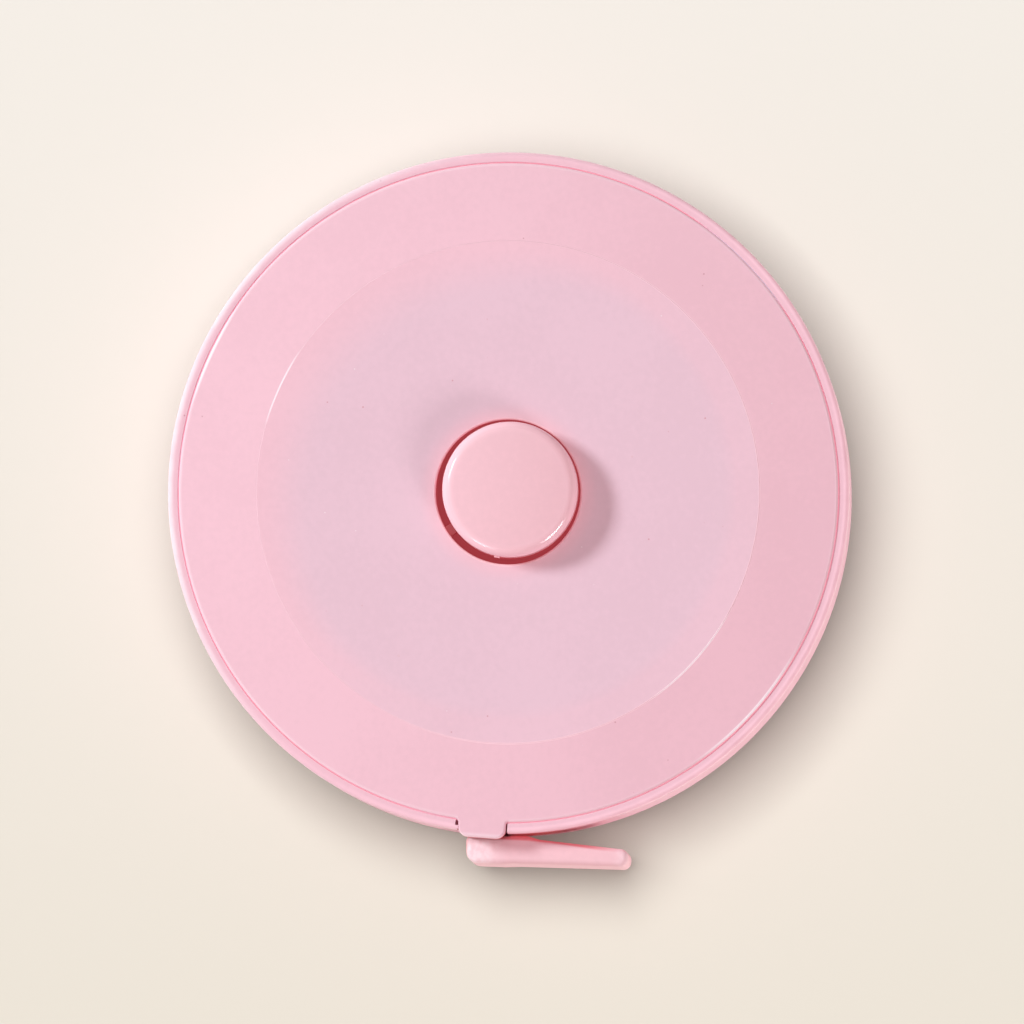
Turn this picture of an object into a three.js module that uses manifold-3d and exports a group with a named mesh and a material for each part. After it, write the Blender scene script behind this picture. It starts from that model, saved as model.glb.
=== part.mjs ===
// Round push-button tape measure: a snap-fit case of two shells, a sprung reel with a cloth tape wound
// on it, a friction brake that the centre button lets go, and a pull tab on the tape's end.
// Millimetres. +Z is the button side, the tape leaves at -Y and is pulled towards +X, and the origin is
// the centre of the flat back.

import * as THREE from 'three';
import { mergeVertices } from 'three/addons/utils/BufferGeometryUtils.js';
import Module from 'manifold-3d';

// Clearances
const RUN_GAP = 0.3; // between pieces that pass each other, and round loose seats
const SEAT_GAP = 0.05; // under pieces that are glued or pressed on
const PARTING_GAP = 0.1; // line between the cover's edge and the rim
const TONGUE_GAP = 0.15; // each side of the cover's tongue
const TAPE_SIDE_GAP = 0.25; // tape edge to each reel flange

// Tape
const TAPE_LENGTH = 1500;
const TAPE_WIDTH = 7;
const TAPE_THICKNESS = 0.32;
const WIND_GAP = 0.44; // air between the turns on the reel

// Case
const FLOOR = 1.2;
const CASE_WALL = 1.2;
const COVER_WALL = 1.2;
const SKIRT_WALL = 0.75;
const RIM_WIDTH = 0.75;
const RIM_STEP = 0.3; // the rim lies this far below the cover's edge
const BAND_WIDTH = 5.7; // sloping band outside the crease
const BAND_DROP = 0.75;
const EDGE_THICKNESS = 0.95; // cover's edge on its ledge
const EDGE_ROUND = 0.35;
const RIM_ROUND = 0.45;
const BACK_ROUND = 1.8;
const BOSS_RADIUS = 5.5; // thrust boss under the reel
const BOSS_HEIGHT = 0.6;
const RIB_RADIUS = 12.5; // friction rib under the cover
const RIB_WIDTH = 1;
const RIB_HEIGHT = 0.5;

// Centre post
const POST_RADIUS = 3;
const POST_RISE = 0.2; // shoulder above the spring cover
const PIP_RADIUS = 1.2; // centres the button spring
const PIP_HEIGHT = 2.5;
const KEYWAY_DEPTH = 1.9;

// Button and brake
const HOLE_RADIUS = 5.3;
const HOLE_ROUND = 0.15;
const BUTTON_PLAY = 0.33; // radial play of the button in its hole
const BUTTON_LEAN = new THREE.Vector2(0.19, 0.14); // the button rests to one side of that play
const BUTTON_PROUD = 2.3;
const BUTTON_CROWN = 0.25;
const BUTTON_ROUND = 0.55;
const BUTTON_TOP_WALL = 1.3;
const BUTTON_FLANGE = 0.7;
const BUTTON_TRAVEL = 1;
const COLLAR_WALL = 0.9;
const RING_WIDTH = 1.15; // rubber brake ring
const RING_HEIGHT = 0.7;
const KEY_COUNT = 3; // keys in the collar stop the button turning
const KEY_ANGLE = 212;
const KEY_WIDTH = 0.8;
const KEY_REACH = 0.5; // into the bore of the hole
const KEY_TOP_DEPTH = 2; // below the front face
const SPRING_WIRE = 0.4;
const SPRING_RADIUS = 2; // middle of the wire
const SPRING_TURNS = 6;

// Reel
const FLANGE = 0.7;
const FLANGE_OVERHANG = 0.52; // beyond the full winding
const BARREL_WALL = 0.9;
const BARREL_SEAT = 0.3; // groove in the upper flange for the barrel's edge
const LID_LEDGE = 0.7;
const LID = 0.6;
const POWER_STRIP = 0.15;
const POWER_GAP = 0.42; // air between the turns of the power spring
const POWER_ANGLE = 20; // of its inner end in the post
const HOOK_REACH = 0.45; // its outer end into the barrel's wall

// Tape slot, tongue and tab
const SLOT_ANGLE = -94.4;
const TONGUE_WIDTH = 3.3;
const TONGUE_REACH = 0.3; // beyond the wall
const TONGUE_ROUND = 0.6;
const TAB_TILT = 3; // the tab points a little away from the case
const TAB_ROOT = 1.85; // behind the point nearest the case
const TAB_TIP = 10.1; // ahead of that point
const TAB_WIDTH = 8;
const TAB_THICKNESS = 2.05;
const TAB_THINNING = 0.38; // taken off the case side of the tip
const TAB_BEAD = 0.25; // swelling of the root
const TAB_BEVEL = 0.3;
const LEAD_BEND = 4; // bend of the tape inside the tab
const LEAD_STOP = 4.5; // tape's end to the tab's tip

// Facets
const CASE_FACETS = 48;
const BUTTON_FACETS = 40;
const POST_FACETS = 24;
const WIND_STEPS = 24; // for each turn of the tape
const POWER_STEPS = 18; // for each turn of the power spring
const COIL_STEPS = 10; // for each turn of the button spring
const COIL_SIDES = 6;

// Radii, from the button outwards
const buttonRadius = HOLE_RADIUS - BUTTON_PLAY;
const collarRadius = HOLE_RADIUS + COLLAR_WALL;
const lipRadius = collarRadius + RUN_GAP;
const ringInner = collarRadius + 2 * RUN_GAP;
const ringOuter = ringInner + RING_WIDTH;
const barrelInner = ringOuter + 2 * RUN_GAP;
const barrelRadius = barrelInner + BARREL_WALL;
const springRoom = barrelInner - LID_LEDGE;
const reelBore = POST_RADIUS + RUN_GAP;
const windPitch = TAPE_THICKNESS + WIND_GAP;
const windStart = barrelRadius + RUN_GAP + TAPE_THICKNESS / 2;
const windEnd = Math.sqrt(windStart ** 2 + (TAPE_LENGTH * windPitch) / Math.PI);
const flangeRadius = windEnd + TAPE_THICKNESS / 2 + FLANGE_OVERHANG;
const skirtInner = flangeRadius + 2 * RUN_GAP;
const skirtOuter = skirtInner + SKIRT_WALL;
const wallInner = skirtOuter + RUN_GAP;
const caseRadius = wallInner + CASE_WALL;
const rebateRadius = caseRadius - RIM_WIDTH;
const coverRadius = rebateRadius - PARTING_GAP;
const flatRadius = coverRadius - BAND_WIDTH;

// Heights, from the back upwards
const bossTop = FLOOR + BOSS_HEIGHT;
const reelBottom = bossTop + RUN_GAP;
const lowerFlangeTop = reelBottom + FLANGE;
const tapeBottom = lowerFlangeTop + TAPE_SIDE_GAP;
const tapeTop = tapeBottom + TAPE_WIDTH;
const upperFlangeBottom = tapeTop + TAPE_SIDE_GAP;
const upperFlangeTop = upperFlangeBottom + FLANGE;
const ribBottom = upperFlangeTop + RUN_GAP;
const coverUnderside = ribBottom + RIB_HEIGHT;
const face = coverUnderside + COVER_WALL;
const edgeTop = face - BAND_DROP;
const edgeBottom = edgeTop - EDGE_THICKNESS;
const ledge = edgeBottom - RUN_GAP;
const rimTop = edgeTop - RIM_STEP;
const skirtBottom = tapeTop + RUN_GAP;
const ringTop = upperFlangeBottom - RUN_GAP;
const buttonFlangeTop = ringTop - RING_HEIGHT - SEAT_GAP;
const buttonBottom = buttonFlangeTop - BUTTON_FLANGE;
const collarBottom = buttonFlangeTop + RUN_GAP;
const lidTop = buttonBottom - BUTTON_TRAVEL - RUN_GAP;
const lidBottom = lidTop - LID;
const postTop = lidTop + POST_RISE;
const buttonTop = face + BUTTON_PROUD;
const buttonUnderside = buttonTop - BUTTON_TOP_WALL;
const tabMiddle = (tapeBottom + tapeTop) / 2;
const tongueBottom = tabMiddle + TAB_WIDTH / 2 + RUN_GAP;
const slotBottom = tapeBottom - RUN_GAP;

const wasm = await Module();
wasm.setup();

// A closed geometry with shared vertices, no collapsed triangles, and faces that point out.
function closed(geometry) {
  const bare = new THREE.BufferGeometry();
  bare.setAttribute('position', geometry.getAttribute('position'));
  bare.setIndex(geometry.getIndex());
  const merged = mergeVertices(bare, 1e-4);
  const corner = (i) => new THREE.Vector3().fromBufferAttribute(merged.getAttribute('position'), i);
  const source = merged.getIndex().array;
  const triangles = [];
  let volume = 0;
  for (let i = 0; i < source.length; i += 3) {
    const [a, b, c] = source.slice(i, i + 3);
    if (a === b || b === c || c === a) continue;
    triangles.push([a, b, c]);
    volume += corner(a).dot(corner(b).cross(corner(c)));
  }
  merged.setIndex(triangles.flatMap(([a, b, c]) => (volume < 0 ? [a, c, b] : [a, b, c])));
  return merged;
}

function solidOf(geometry) {
  const whole = closed(geometry);
  return new wasm.Manifold(new wasm.Mesh({
    numProp: 3,
    vertProperties: Float32Array.from(whole.getAttribute('position').array),
    triVerts: Uint32Array.from(whole.getIndex().array),
  }));
}

function geometryOf(solid) {
  const mesh = solid.getMesh();
  const geometry = new THREE.BufferGeometry();
  geometry.setAttribute('position', new THREE.Float32BufferAttribute(mesh.vertProperties, 3));
  geometry.setIndex(Array.from(mesh.triVerts));
  return geometry;
}

const radians = THREE.MathUtils.degToRad;

// A point of the plan at a radius and an angle from +X.
function polar(radius, angle) {
  return new THREE.Vector2(radius * Math.cos(angle), radius * Math.sin(angle));
}

// A solid of revolution about Z from [radius, height] pairs, on the axis at both ends or a closed ring.
function revolve(profile, facets, ring = false) {
  const points = profile.map(([radius, height]) => new THREE.Vector2(radius, height));
  if (ring) points.push(points[0].clone());
  return closed(new THREE.LatheGeometry(points, facets).rotateX(Math.PI / 2));
}

// Points of a round corner in a profile, between two angles in degrees.
function corner(radius, height, round, from, to, steps) {
  return Array.from({ length: steps + 1 }, (_, i) => {
    const angle = radians(from + ((to - from) * i) / steps);
    return [radius + round * Math.cos(angle), height + round * Math.sin(angle)];
  });
}

// A block that reaches outwards along an angle, between two radii and two heights.
function radialBlock(angle, inner, outer, width, bottom, top) {
  const block = new THREE.BoxGeometry(outer - inner, width, top - bottom);
  block.translate((inner + outer) / 2, 0, (bottom + top) / 2);
  return solidOf(block.rotateZ(angle));
}

// A strip on edge that follows plan points, with mitred corners.
function strip(points, thickness, bottom, top) {
  const across = (from, to) => new THREE.Vector2(from.y - to.y, to.x - from.x).normalize();
  const vertices = [];
  const index = [];
  points.forEach((point, i) => {
    const before = across(points[Math.max(i - 1, 0)], points[Math.max(i, 1)]);
    const last = points.length - 1;
    const after = across(points[Math.min(i, last - 1)], points[Math.min(i + 1, last)]);
    const mitre = before.clone().add(after).normalize();
    const half = mitre.multiplyScalar(thickness / 2 / mitre.dot(before));
    const left = point.clone().add(half);
    const right = point.clone().sub(half);
    vertices.push(left.x, left.y, bottom, right.x, right.y, bottom);
    vertices.push(right.x, right.y, top, left.x, left.y, top);
    if (i === 0) return;
    for (let side = 0; side < 4; side++) {
      const a = 4 * (i - 1) + side;
      const b = 4 * (i - 1) + ((side + 1) % 4);
      index.push(a, b, b + 4, a, b + 4, a + 4);
    }
  });
  const end = vertices.length / 3 - 4;
  index.push(0, 2, 1, 0, 3, 2, end, end + 1, end + 2, end, end + 2, end + 3);
  const geometry = new THREE.BufferGeometry();
  geometry.setAttribute('position', new THREE.Float32BufferAttribute(vertices, 3));
  geometry.setIndex(index);
  return closed(geometry);
}

// Plan points of a spiral that grows anticlockwise, with the same step angles on every turn.
function spiral(startRadius, startAngle, pitch, turns, stepsPerTurn) {
  const steps = Math.floor(turns * stepsPerTurn);
  const shares = Array.from({ length: steps + 1 }, (_, i) => i / stepsPerTurn);
  if (turns - steps / stepsPerTurn > 0.1 / stepsPerTurn) shares.push(turns);
  return shares.map((turn) => polar(startRadius + pitch * turn, startAngle + 2 * Math.PI * turn));
}

// Least distance between the middle lines of turns that lie beside each other.
function leastSpacing(points, apart) {
  let least = Infinity;
  for (let i = 0; i < points.length; i++) {
    for (let j = i + apart; j < points.length - 1; j++) {
      const along = points[j + 1].clone().sub(points[j]);
      const share = points[i].clone().sub(points[j]).dot(along) / along.lengthSq();
      const foot = points[j].clone().addScaledVector(along, THREE.MathUtils.clamp(share, 0, 1));
      least = Math.min(least, foot.distanceTo(points[i]));
    }
  }
  return least;
}

class Helix extends THREE.Curve {
  constructor(radius, bottom, top, turns) {
    super();
    Object.assign(this, { radius, bottom, top, turns });
  }

  getPoint(share, target = new THREE.Vector3()) {
    const { x, y } = polar(this.radius, 2 * Math.PI * this.turns * share);
    return target.set(x, y, THREE.MathUtils.lerp(this.bottom, this.top, share));
  }
}

function finish(color, roughness, metalness = 0) {
  return new THREE.MeshStandardMaterial({ color, roughness, metalness, flatShading: true });
}

const finishes = {
  casePink: finish(0xf3c4d1, 0.32),
  buttonPink: finish(0xf4c4ce, 0.3),
  reelWhite: finish(0xeeece6, 0.45),
  tapeCloth: finish(0xf2efe4, 0.8),
  springSteel: finish(0x9aa0a6, 0.3, 1),
  brakeRubber: finish(0x2b2b2d, 0.9),
};

const tapeMeasure = new THREE.Group();

function place(name, geometry, material, position = new THREE.Vector3()) {
  const mesh = new THREE.Mesh(geometry, material);
  mesh.name = name;
  mesh.position.copy(position);
  tapeMeasure.add(mesh);
}

// Height of the sloping band above or below its flat disc, at a radius.
function bandFall(radius) {
  return (BAND_DROP * (radius - flatRadius)) / BAND_WIDTH;
}

const slotAngle = radians(SLOT_ANGLE);

// Rear shell: cup with the thrust boss, the keyed centre post and the tape slot
function rearShell() {
  const slope = THREE.MathUtils.radToDeg(Math.atan2(BAND_DROP, BAND_WIDTH));
  const backCentre = caseRadius - BACK_ROUND;
  const backStart = backCentre + BACK_ROUND * Math.sin(radians(slope));
  const backHeight = bandFall(backStart) + BACK_ROUND * Math.cos(radians(slope));
  const cup = solidOf(revolve([
    [0, 0],
    [flatRadius, 0],
    ...corner(backCentre, backHeight, BACK_ROUND, slope - 90, 0, 5),
    ...corner(caseRadius - RIM_ROUND, rimTop - RIM_ROUND, RIM_ROUND, 0, 90, 3),
    [rebateRadius, rimTop],
    [rebateRadius, ledge],
    [wallInner, ledge],
    [wallInner, FLOOR + bandFall(wallInner)],
    [flatRadius, FLOOR],
    [BOSS_RADIUS, FLOOR],
    [BOSS_RADIUS, bossTop],
    [0, bossTop],
  ], CASE_FACETS));
  const post = solidOf(revolve([
    [0, FLOOR / 2],
    [POST_RADIUS, FLOOR / 2],
    [POST_RADIUS, postTop],
    [PIP_RADIUS, postTop],
    [PIP_RADIUS, postTop + PIP_HEIGHT - PIP_RADIUS / 2],
    [PIP_RADIUS / 2, postTop + PIP_HEIGHT],
    [0, postTop + PIP_HEIGHT],
  ], POST_FACETS));
  const keywayWidth = POWER_STRIP + 2 * RUN_GAP;
  const keywayFoot = POST_RADIUS - KEYWAY_DEPTH;
  const keyway = radialBlock(
    radians(POWER_ANGLE), keywayFoot, POST_RADIUS + 1, keywayWidth, lowerFlangeTop, postTop + 1,
  );
  const slotWidth = TONGUE_WIDTH + 2 * TONGUE_GAP;
  const slot = radialBlock(slotAngle, skirtOuter, caseRadius + 1, slotWidth, slotBottom, face);
  return geometryOf(cup.add(post).subtract(keyway).subtract(slot));
}

// Front cover: disc and band, skirt, collar with keys, friction rib, and the tongue over the slot
function frontCover() {
  const edgeStart = coverRadius - EDGE_ROUND;
  const edgeCentre = face - bandFall(edgeStart) - EDGE_ROUND;
  const shell = solidOf(revolve([
    [HOLE_RADIUS, collarBottom],
    [HOLE_RADIUS, face - HOLE_ROUND],
    [HOLE_RADIUS + HOLE_ROUND, face],
    [flatRadius, face],
    ...corner(edgeStart, edgeCentre, EDGE_ROUND, 90, 0, 3),
    [coverRadius, edgeBottom],
    [skirtOuter, edgeBottom],
    [skirtOuter, skirtBottom],
    [skirtInner, skirtBottom],
    [skirtInner, coverUnderside - bandFall(skirtInner)],
    [flatRadius, coverUnderside],
    [RIB_RADIUS + RIB_WIDTH / 2, coverUnderside],
    [RIB_RADIUS + RIB_WIDTH / 2, ribBottom],
    [RIB_RADIUS - RIB_WIDTH / 2, ribBottom],
    [RIB_RADIUS - RIB_WIDTH / 2, coverUnderside],
    [collarRadius, coverUnderside],
    [collarRadius, collarBottom],
  ], CASE_FACETS, true));

  const tip = caseRadius + TONGUE_REACH;
  const root = (skirtInner + skirtOuter) / 2;
  const side = TONGUE_WIDTH / 2;
  const plan = new THREE.Shape();
  plan.moveTo(root, -side);
  plan.lineTo(tip - TONGUE_ROUND, -side);
  plan.absarc(tip - TONGUE_ROUND, TONGUE_ROUND - side, TONGUE_ROUND, -Math.PI / 2, 0);
  plan.absarc(tip - TONGUE_ROUND, side - TONGUE_ROUND, TONGUE_ROUND, 0, Math.PI / 2);
  plan.lineTo(root, side);
  const block = new THREE.ExtrudeGeometry(plan, {
    depth: face - tongueBottom, bevelEnabled: false, curveSegments: 4,
  });
  const tongue = solidOf(block.rotateZ(slotAngle).translate(0, 0, tongueBottom));
  const underBand = solidOf(revolve([
    [0, 0],
    [tip + 1, 0],
    [tip + 1, face - bandFall(tip + 1)],
    [flatRadius, face],
    [0, face],
  ], CASE_FACETS));

  let cover = shell.add(tongue.intersect(underBand));
  for (let key = 0; key < KEY_COUNT; key++) {
    const angle = radians(KEY_ANGLE + (360 * key) / KEY_COUNT);
    const inner = HOLE_RADIUS - KEY_REACH;
    const outer = HOLE_RADIUS + COLLAR_WALL / 2;
    const top = face - KEY_TOP_DEPTH;
    cover = cover.add(radialBlock(angle, inner, outer, KEY_WIDTH, collarBottom, top));
  }
  return geometryOf(cover);
}

// Push button: crowned cap, hollow for the spring, brake flange, and a groove for each key
function pushButton() {
  const hollow = POST_RADIUS + 2 * RUN_GAP;
  const hollowTop = postTop + RUN_GAP + BUTTON_TRAVEL;
  const seat = SPRING_RADIUS + SPRING_WIRE / 2 + RUN_GAP;
  const shoulder = buttonRadius - BUTTON_ROUND;
  const crown = (radius) => buttonTop - BUTTON_CROWN * (radius / shoulder) ** 2;
  let button = solidOf(revolve([
    [0, buttonTop],
    [shoulder / 2, crown(shoulder / 2)],
    ...corner(shoulder, crown(shoulder) - BUTTON_ROUND, BUTTON_ROUND, 84, 0, 4),
    [buttonRadius, buttonFlangeTop],
    [ringOuter, buttonFlangeTop],
    [ringOuter, buttonBottom],
    [hollow, buttonBottom],
    [hollow, hollowTop],
    [seat, hollowTop],
    [seat, buttonUnderside],
    [0, buttonUnderside],
  ], BUTTON_FACETS));
  const grooveTop = face - KEY_TOP_DEPTH + BUTTON_TRAVEL + RUN_GAP;
  const grooveFoot = HOLE_RADIUS - KEY_REACH - RUN_GAP - BUTTON_LEAN.length();
  const grooveWidth = KEY_WIDTH + 2 * (RUN_GAP + BUTTON_LEAN.length());
  for (let key = 0; key < KEY_COUNT; key++) {
    const angle = radians(KEY_ANGLE + (360 * key) / KEY_COUNT);
    const outer = buttonRadius + 1;
    button = button.subtract(
      radialBlock(angle, grooveFoot, outer, grooveWidth, buttonFlangeTop + SEAT_GAP, grooveTop),
    );
  }
  return geometryOf(button);
}

function brakeRing() {
  const seat = buttonFlangeTop + SEAT_GAP;
  return revolve(
    [[ringInner, seat], [ringOuter, seat], [ringOuter, ringTop], [ringInner, ringTop]],
    BUTTON_FACETS, true,
  );
}

function buttonSpring() {
  const half = SPRING_WIRE / 2;
  const bottom = postTop + SEAT_GAP + half;
  const top = buttonUnderside - SEAT_GAP - half;
  const section = new THREE.Shape().absarc(0, 0, half, 0, 2 * Math.PI);
  const coil = new THREE.ExtrudeGeometry(section, {
    extrudePath: new Helix(SPRING_RADIUS, bottom, top, SPRING_TURNS),
    steps: SPRING_TURNS * COIL_STEPS,
    curveSegments: COIL_SIDES,
  });
  console.log('button spring, gap between curls:', ((top - bottom) / SPRING_TURNS - SPRING_WIRE).toFixed(2));
  return closed(coil);
}

// The power spring's middle line: keyed in the post, spiral, hooked in the barrel
const powerPitch = POWER_STRIP + POWER_GAP;
const powerStart = POST_RADIUS + RUN_GAP + POWER_STRIP / 2;
const powerTurns = (springRoom - RUN_GAP - POWER_STRIP / 2 - powerStart) / powerPitch;
const powerTurnPoints = spiral(powerStart, radians(POWER_ANGLE), powerPitch, powerTurns, POWER_STEPS);
const hookAngle = powerTurnPoints.at(-1).angle();

function powerSpring() {
  const tail = polar(POST_RADIUS - KEYWAY_DEPTH + RUN_GAP, radians(POWER_ANGLE));
  const hook = polar(springRoom + HOOK_REACH, hookAngle);
  const bottom = lowerFlangeTop + RUN_GAP;
  const top = lidBottom - RUN_GAP;
  const spacing = leastSpacing(powerTurnPoints, POWER_STEPS - 1);
  console.log('power spring, least gap to itself:', (spacing - POWER_STRIP).toFixed(3));
  return strip([tail, ...powerTurnPoints, hook], POWER_STRIP, bottom, top);
}

// The tape leaves the winding on a tangent through the middle of the slot, then bends into the tab
const slotMiddle = polar(caseRadius - CASE_WALL / 2, slotAngle);
const leaveAngle = slotAngle - Math.acos(windEnd / slotMiddle.length());
const leaveWay = new THREE.Vector2(-Math.sin(leaveAngle), Math.cos(leaveAngle));
const windTurns = (windEnd - windStart) / windPitch;
const tailAngle = leaveAngle - 2 * Math.PI * windTurns;

function reelBarrel() {
  const barrelTop = upperFlangeBottom + BARREL_SEAT - 2 * SEAT_GAP;
  const lidSeat = lidBottom - SEAT_GAP;
  const barrel = solidOf(revolve([
    [reelBore, reelBottom],
    [flangeRadius, reelBottom],
    [flangeRadius, lowerFlangeTop],
    [barrelRadius, lowerFlangeTop],
    [barrelRadius, barrelTop],
    [barrelInner, barrelTop],
    [barrelInner, lidSeat],
    [springRoom, lidSeat],
    [springRoom, lowerFlangeTop],
    [reelBore, lowerFlangeTop],
  ], CASE_FACETS, true));
  const tapeSlit = radialBlock(
    tailAngle, barrelInner - RUN_GAP, barrelRadius + 1,
    TAPE_THICKNESS + 2 * RUN_GAP, lidSeat - LID, barrelTop + 1,
  );
  const hookSlot = radialBlock(
    hookAngle, springRoom - 1, springRoom + HOOK_REACH + RUN_GAP,
    POWER_STRIP + 2 * RUN_GAP, lowerFlangeTop + SEAT_GAP, lidSeat + SEAT_GAP,
  );
  return geometryOf(barrel.subtract(tapeSlit).subtract(hookSlot));
}

function reelFlange() {
  const grooveInner = barrelInner - PARTING_GAP;
  const grooveOuter = barrelRadius + PARTING_GAP;
  const grooveTop = upperFlangeBottom + BARREL_SEAT;
  return revolve([
    [lipRadius, upperFlangeBottom],
    [grooveInner, upperFlangeBottom],
    [grooveInner, grooveTop],
    [grooveOuter, grooveTop],
    [grooveOuter, upperFlangeBottom],
    [flangeRadius, upperFlangeBottom],
    [flangeRadius, upperFlangeTop],
    [lipRadius, upperFlangeTop],
  ], CASE_FACETS, true);
}

function springCover() {
  const rim = barrelInner - RUN_GAP;
  return revolve(
    [[reelBore, lidBottom], [rim, lidBottom], [rim, lidTop], [reelBore, lidTop]],
    BUTTON_FACETS, true,
  );
}

// The whole length of the tape on the reel, with its inner end tucked into the barrel's slit
function tapeWinding() {
  const endGap = RUN_GAP / windEnd / (2 * Math.PI);
  const turns = spiral(windStart, tailAngle, windPitch, windTurns - endGap, WIND_STEPS);
  const spacing = leastSpacing(turns, WIND_STEPS - 1);
  console.log('tape winding, turns:', windTurns.toFixed(1));
  console.log('tape winding, least gap to itself:', (spacing - TAPE_THICKNESS).toFixed(3));
  const slitTop = lidBottom - SEAT_GAP - LID;
  const tail = polar(barrelInner + RUN_GAP, tailAngle);
  const body = solidOf(strip(turns, TAPE_THICKNESS, tapeBottom, tapeTop));
  const tuck = solidOf(strip([tail, turns[0]], TAPE_THICKNESS, slitTop + RUN_GAP, tapeTop));
  return geometryOf(body.add(tuck));
}

// Middle line of the tape from the winding to its end inside the tab
const tabNear = caseRadius + RUN_GAP;
const tabTurn = -radians(TAB_TILT);
const tabWay = polar(1, tabTurn);
const tabOut = polar(1, tabTurn - Math.PI / 2);
const tabPoint = (along, out) => tabOut.clone().multiplyScalar(out).addScaledVector(tabWay, along);

function leadPoints(endPast) {
  const start = polar(windEnd, leaveAngle);
  const depth = tabNear + TAB_THICKNESS / 2;
  const reach = (depth - slotMiddle.dot(tabOut)) / leaveWay.dot(tabOut);
  const bend = slotMiddle.clone().addScaledVector(leaveWay, reach);
  const turn = tabTurn - leaveWay.angle();
  const turnBy = THREE.MathUtils.euclideanModulo(turn + Math.PI, 2 * Math.PI) - Math.PI;
  const cut = LEAD_BEND * Math.tan(turnBy / 2);
  const round = new THREE.QuadraticBezierCurve(
    bend.clone().addScaledVector(leaveWay, -cut), bend, bend.clone().addScaledVector(tabWay, cut),
  );
  const end = tabPoint(TAB_TIP - LEAD_STOP + endPast, depth);
  return [start, slotMiddle, ...round.getPoints(6), end];
}

function tapeLead() {
  return strip(leadPoints(0), TAPE_THICKNESS, tapeBottom, tapeTop);
}

// Pull tab: a flat grip, thinner and round at its tip, beaded at its root, with a pocket for the tape
function pullTab() {
  const near = -tabNear;
  const far = -tabNear - TAB_THICKNESS;
  const tipRound = (TAB_THICKNESS - TAB_THINNING) / 2;
  const tipCentre = TAB_TIP - tipRound;
  const beadEnd = 2.5 * TAB_BEAD + TAB_THICKNESS;
  const outline = new THREE.Shape();
  outline.moveTo(-TAB_ROOT, near);
  outline.lineTo((TAB_TIP - TAB_ROOT) / 2, near);
  outline.lineTo(tipCentre, near - TAB_THINNING);
  outline.absarc(tipCentre, far + tipRound, tipRound, Math.PI / 2, -Math.PI / 2, true);
  outline.lineTo(beadEnd - TAB_ROOT, far);
  outline.bezierCurveTo(
    beadEnd / 2 - TAB_ROOT, far - 2 * TAB_BEAD, TAB_BEAD - TAB_ROOT, far - TAB_BEAD,
    TAB_BEAD - TAB_ROOT, far + TAB_THICKNESS / 4,
  );
  const grip = new THREE.ExtrudeGeometry(outline, {
    depth: TAB_WIDTH - 2 * TAB_BEVEL, curveSegments: 8, bevelSegments: 2,
    bevelThickness: TAB_BEVEL, bevelSize: TAB_BEVEL, bevelOffset: -TAB_BEVEL,
  });
  grip.translate(0, 0, tabMiddle - TAB_WIDTH / 2 + TAB_BEVEL).rotateZ(tabTurn);
  const room = TAPE_THICKNESS + 2 * RUN_GAP;
  const pocket = strip(leadPoints(RUN_GAP), room, tapeBottom - RUN_GAP, tapeTop + RUN_GAP);
  return geometryOf(solidOf(grip).subtract(solidOf(pocket)));
}

const lean = new THREE.Vector3(BUTTON_LEAN.x, BUTTON_LEAN.y, 0);

place('rear_shell', rearShell(), finishes.casePink);
place('front_cover', frontCover(), finishes.casePink);
place('push_button', pushButton(), finishes.buttonPink, lean);
place('brake_ring', brakeRing(), finishes.brakeRubber, lean);
place('button_spring', buttonSpring(), finishes.springSteel);
place('reel_barrel', reelBarrel(), finishes.reelWhite);
place('reel_flange', reelFlange(), finishes.reelWhite);
place('spring_cover', springCover(), finishes.reelWhite);
place('power_spring', powerSpring(), finishes.springSteel);
place('tape_winding', tapeWinding(), finishes.tapeCloth);
place('tape_lead', tapeLead(), finishes.tapeCloth);
place('pull_tab', pullTab(), finishes.casePink);

export default tapeMeasure;
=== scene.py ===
"""A round push-button tape measure with a cloth tape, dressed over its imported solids. Metres."""

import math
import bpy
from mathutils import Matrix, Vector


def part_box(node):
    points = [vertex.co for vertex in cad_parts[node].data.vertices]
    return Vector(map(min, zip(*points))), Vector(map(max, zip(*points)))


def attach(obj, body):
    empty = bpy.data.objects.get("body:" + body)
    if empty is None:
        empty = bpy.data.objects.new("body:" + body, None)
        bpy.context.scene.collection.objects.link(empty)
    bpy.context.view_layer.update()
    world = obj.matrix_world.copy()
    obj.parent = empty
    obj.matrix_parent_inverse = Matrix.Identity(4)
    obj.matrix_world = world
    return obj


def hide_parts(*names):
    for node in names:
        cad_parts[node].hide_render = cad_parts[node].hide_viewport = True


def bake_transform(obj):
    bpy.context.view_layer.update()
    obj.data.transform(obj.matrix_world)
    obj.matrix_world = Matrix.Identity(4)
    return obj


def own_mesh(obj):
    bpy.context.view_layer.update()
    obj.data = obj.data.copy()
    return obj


bl_info = {
    "name": "Push-button tape measure",
    "version": (1, 0, 0),
    "blender": (4, 5, 0),
    "location": "View3D > Sidebar > Tape measure",
    "description": "Builds a round case with its button, pull tab, wound cloth tape and springs",
    "category": "Add Mesh",
}

import bmesh
import bpy
from bpy.props import FloatProperty, FloatVectorProperty, IntProperty, PointerProperty
from mathutils import Matrix, Vector

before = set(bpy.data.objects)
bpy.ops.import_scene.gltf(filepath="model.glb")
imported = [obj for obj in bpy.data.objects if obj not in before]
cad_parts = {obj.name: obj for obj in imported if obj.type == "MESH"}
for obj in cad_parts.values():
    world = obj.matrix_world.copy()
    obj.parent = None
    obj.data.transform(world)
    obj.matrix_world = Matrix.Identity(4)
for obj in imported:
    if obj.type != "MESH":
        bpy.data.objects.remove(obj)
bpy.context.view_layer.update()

MM = 0.001
TINY = 1e-7
SHARP_ANGLE = math.radians(38)

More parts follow.
